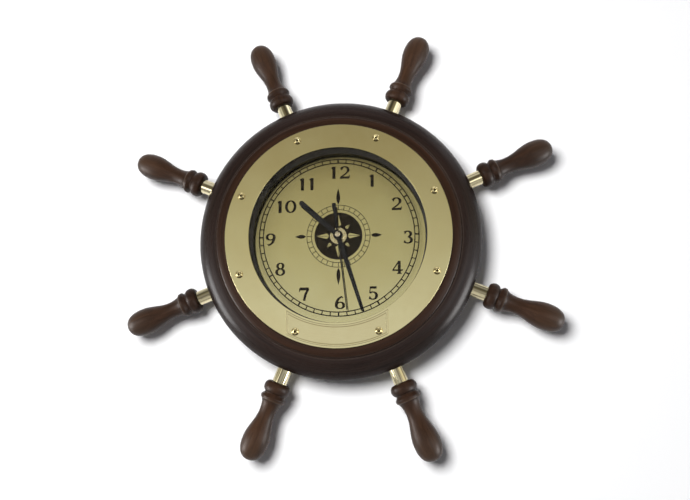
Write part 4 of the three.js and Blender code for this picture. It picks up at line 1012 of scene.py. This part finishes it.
screw_brass = brass("screw_brass", screw_colour, (900, 900, 900), 0.06, 0.12)
soiled(screw_brass, recess_dark_flank_shade)
turn = circle(96)
from_middle = head_radius * np.sin(np.linspace(0, np.pi / 2, 40))
for number, angle in enumerate(spoke_angles, 1):
    x, z = screw_circle * np.cos(angle), screw_circle * np.sin(angle)
    on_plaque = z < 0 and abs(x) < plaque_half
    seat_depth = (plaque_front if on_plaque else bezel_front) + seat_gap
    twist = screw_twist * number
    side = [np.abs(from_middle[:, None] * wave(turn + twist)) for wave in (np.cos, np.sin)]
    arms = [
        within(across, recess_half_width, recess_soft) * within(along, recess_half_length, recess_soft)
        for across, along in (side, side[::-1])
    ]
    taper = 1 - recess_taper * (from_middle[:, None] / recess_half_length).clip(0, 1)
    edge_depth = seat_depth + head_rim
    top = edge_depth + domed(from_middle)[:, None] - recess_depth * taper * np.maximum(*arms)
    head = np.stack([from_middle[:, None] * np.cos(turn), -top, from_middle[:, None] * np.sin(turn)], -1)
    shank = turned(np.array([
        [head_radius, seat_depth], [shank_radius, seat_depth],
        [shank_radius, bezel_front - screw_reach + screw_point], [0, bezel_front - screw_reach],
    ]), 96)
    screw = piece(f"round_screw_{number}", skin(np.concatenate([head, shank]) + (x, 0, z)))
    place = spots(screw) - (x, 0, z)
    outwards = np.hypot(place[:, 0], place[:, 2])
    sunk = (edge_depth + domed(outwards) + place[:, 1]) / recess_depth
    # Painted shade on the lower flank of each head; the recess is darkened as well.
    lower_side = np.interp(place[:, 2] / head_radius, [flank_shade_low, flank_shade_high], [1, 0])
    flank_shade = lower_side * np.interp(outwards / head_radius, flank_shade_places, flank_shade_shares)
    soil_and_shade = np.maximum((recess_darkening * sunk).clip(0, 1), flank_shade)
    store(screw, "dirt_and_shade", np.where(-place[:, 1] > seat_depth, soil_and_shade, 0.0))
    seat(screw, screw_brass, "clock_body", "screw_brass", f"bezel_screw_{number}")


# Back: the plywood board that carries the movement, and the movement's black moulded housing with its cover
# and rubber pad. Their CAD shapes are right, so merged copies only get softer edges where they show.
board_dark, board_pale = (0.20, 0.125, 0.06), (0.42, 0.29, 0.155)
case_dark, case_pale = (0.010, 0.010, 0.011), (0.020, 0.020, 0.021)
rubber_dark, rubber_pale = (0.008, 0.008, 0.008), (0.016, 0.016, 0.016)
edge_ease = 0.35 * mm


def softened(node_name, name, width):
    """A merged copy of a CAD node with its flat faces joined and its edges bevelled."""
    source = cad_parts[node_name]
    mesh = source.data.copy()
    mesh.name = name
    mesh.materials.clear()
    merged = bmesh.new()
    merged.from_mesh(mesh)
    bmesh.ops.remove_doubles(merged, verts=merged.verts, dist=1e-6)
    bmesh.ops.dissolve_limit(merged, angle_limit=np.radians(1), verts=merged.verts, edges=merged.edges)
    merged.to_mesh(mesh)
    merged.free()
    made = placed(name, mesh)
    bevel = made.modifiers.new("eased_edges", "BEVEL")
    bevel.width, bevel.segments, bevel.limit_method = width, 2, "ANGLE"
    bevel.angle_limit = np.radians(40)
    mesh.shade_smooth()
    mesh.set_sharp_from_angle(angle=np.radians(40))
    return made


def dressed(material, *node_names):
    """Gives CAD nodes that stay in view their material."""
    for name in node_names:
        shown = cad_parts[name].data.materials
        shown.clear()
        shown.append(material)


def board_wood(name, dark, pale):
    """Bare board: bands of growth as waves bent by noise, drawn out level across the board."""
    material, tree, shader = finish(name, {"Roughness": 0.72})
    place = node(tree, "TexCoord").outputs["Object"]
    drawn = node(tree, "Mapping", {"Vector": place, "Scale": (6, 60, 110)}).outputs["Vector"]
    growth = noise(tree, drawn, 1.0, 5.0, distortion=0.8)
    feed(tree, shader, ramp(tree, growth, [(0.3, dark), (0.72, pale)]), relief=(growth, 0.25, 0.1 * mm))
    return material


dressed(board_wood("plywood", board_dark, board_pale), "dial_backboard")
dressed(moulded("black_rubber", rubber_dark, rubber_pale, 700, 0.85), "movement_gasket")
case_plastic = moulded("case_plastic", case_dark, case_pale, 1500, 0.48, 0.03 * mm)
for name in ("movement_case", "movement_cover"):
    seat(softened(name, "soft_" + name, edge_ease), case_plastic, "clock_body", "case_plastic", name)


# Train and motor: moulded wheels on their arbors, the pale bridge, the iron frame with its copper coil and
# the green circuit board. They lie inside the closed housing and keep their CAD shapes.
acetal_dark, acetal_pale = (0.60, 0.57, 0.49), (0.76, 0.73, 0.66)
green_dark, green_pale = (0.012, 0.07, 0.026), (0.03, 0.13, 0.05)
steel_colour, copper_colour = (0.52, 0.52, 0.53), (0.72, 0.33, 0.15)


def metal(name, colour, drawn, least_rough, most_rough):
    """Bare or plated sheet metal with marks of rolling drawn out by a scale in each direction."""
    return brass(name, colour, drawn, least_rough, most_rough, 0.06)


gear_plastic = moulded("gear_plastic", acetal_dark, acetal_pale, 900, 0.36, 0.01 * mm)
dressed(
    gear_plastic, "train_bridge", "intermediate_wheel", "second_wheel", "third_wheel", "centre_wheel",
    "minute_wheel", "hour_wheel",
)
dressed(metal("motor_steel", steel_colour, (90, 900, 900), 0.28, 0.42), "stator", "rotor")
dressed(metal("coil_copper", copper_colour, (5200, 60, 60), 0.25, 0.45), "coil")
dressed(moulded("circuit_green", green_dark, green_pale, 500, 0.4), "circuit_board")


# Cell: one AA cell in a plain dark sleeve with a bright end, drawn from sheet with a nub on one end. It lies
# across its bay, pressed between two sprung contacts of plated steel.
cell_radius, cell_round, nub_radius, nub_length = 7.25 * mm, 0.7 * mm, 2.7 * mm, 1.3 * mm
cell_bevel, cell_ease = 0.5 * mm, 0.4 * mm
band_width, band_blur = 12 * mm, 0.1 * mm
sleeve_dark, sleeve_band = (0.022, 0.024, 0.028), (0.62, 0.50, 0.30)
contact_colour = (0.66, 0.65, 0.62)

cell_low, cell_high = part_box("battery")
cell_middle = (cell_low + cell_high) / 2
shoulder = cell_high.x - nub_length
cell_axis = np.array([[1, 0, 0], [0, 0, 1], [0, -1, 0]], float)
cell_profile = np.concatenate([
    [[0, cell_low.x]],
    eased([
        [cell_radius - cell_round, cell_low.x], [cell_radius, cell_low.x + cell_bevel],
        [cell_radius, shoulder - cell_bevel], [cell_radius - cell_round, shoulder],
        [nub_radius, shoulder], [nub_radius, cell_high.x], [0, cell_high.x],
    ], cell_ease, False),
])
cell = piece("aa_cell", skin(turned(cell_profile, 72, cell_axis, (0, cell_middle.y, cell_middle.z))))
cell_wrap, tree, shader = finish("cell_wrap", {"Metallic": 0.55})
place = node(tree, "TexCoord").outputs["Object"]
along = node(tree, "SeparateXYZ", {0: place}).outputs["X"]
band_edge = shoulder - band_width
from_end = carried(tree, along, band_edge - band_blur, band_edge + band_blur)
rough = carried(tree, noise(tree, place, 160.0, 4.0), 0.0, 1.0, 0.22, 0.42)
feed(tree, shader, ramp(tree, from_end, [(0.0, sleeve_dark), (1.0, sleeve_band)]), rough)
seat(cell, cell_wrap, "clock_body", "cell_wrap", "battery")
contact_steel = metal("contact_steel", contact_colour, (900, 900, 90), 0.22, 0.36)
dressed(contact_steel, "contact_positive", "contact_negative")


# Set knob: a small knob of pale plastic, moulded with ribs round its side and a dish in its face. It sits on
# the minute wheel's shaft behind the case and is turned by thumb to set the hands.
knob_radius, knob_ribs, rib_depth, ribbed_from = 5 * mm, 24, 0.28 * mm, 0.8
dish_depth, dish_floor, dish_edge = 0.5 * mm, 2.6 * mm, 3.1 * mm
knob_ease = 0.35 * mm
knob_dark, knob_pale = (0.55, 0.52, 0.45), (0.70, 0.67, 0.60)

knob_low, knob_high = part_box("set_knob")
knob_middle = (knob_low + knob_high) / 2
knob_back, knob_front = -knob_high.y, -knob_low.y
knob_turn = circle(12 * knob_ribs)
ribbing = 1 - rib_depth / knob_radius * (0.5 + 0.5 * np.cos(knob_ribs * knob_turn)) ** 2
knob_profile = eased([
    [0, knob_back + dish_depth], [dish_floor, knob_back + dish_depth], [dish_edge, knob_back],
    [knob_radius, knob_back], [knob_radius, knob_front], [0, knob_front],
], knob_ease, False)
ribbed = np.where(knob_profile[:, :1] > ribbed_from * knob_radius, ribbing, 1.0) * knob_profile[:, :1]
knob_grid = np.stack([
    knob_middle.x + ribbed * np.cos(knob_turn),
    np.broadcast_to(-knob_profile[:, 1:], ribbed.shape),
    knob_middle.z + ribbed * np.sin(knob_turn),
], -1)
knob = piece("ribbed_knob", skin(knob_grid))
knob_plastic = moulded("knob_plastic", knob_dark, knob_pale, 1200, 0.42)
seat(knob, knob_plastic, "setting", "knob_plastic", "set_knob")


# Hanger: a zinc plated steel strip, stamped with a row of saw teeth for a nail. It is let in flush at the
# back of the rim and held by two flat headed screws.
hanger_colour = (0.60, 0.60, 0.58)
flat_head, hanger_shank, hanger_reach, hanger_point = 2.4 * mm, 1.2 * mm, 11 * mm, 2 * mm
hanger_thickness, strip_ease = 1.2 * mm, 0.15 * mm
slot_half, slot_depth, slot_soft, slot_turn = 0.28 * mm, 0.35 * mm, 0.02 * mm, 0.7

hanger_steel = metal("hanger_steel", hanger_colour, (120, 900, 900), 0.26, 0.42)
strip = softened("hanger_plate", "sawtooth_strip", strip_ease)
seat(strip, hanger_steel, "clock_body", "hanger_steel", "hanger_plate")
for side in ("left", "right"):
    low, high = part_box(f"hanger_screw_{side}")
    x, z, face = (low.x + high.x) / 2, (low.z + high.z) / 2, -high.y
    out = flat_head * np.linspace(0, 1, 24)[:, None]
    slot_side = np.abs(out * np.sin(turn + slot_turn))
    face_depth = face + slot_depth * within(slot_side, slot_half, slot_soft)
    flat = np.stack([out * np.cos(turn), -face_depth * np.ones_like(turn), out * np.sin(turn)], -1)
    body = turned(np.array([
        [hanger_shank, face + hanger_thickness],
        [hanger_shank, hanger_reach - hanger_point], [0, hanger_reach],
    ]), 96)
    screw = piece(f"flat_screw_{side}", skin(np.concatenate([flat, body]) + (x, 0, z)))
    seat(screw, hanger_steel, "clock_body", "hanger_steel", f"hanger_screw_{side}")
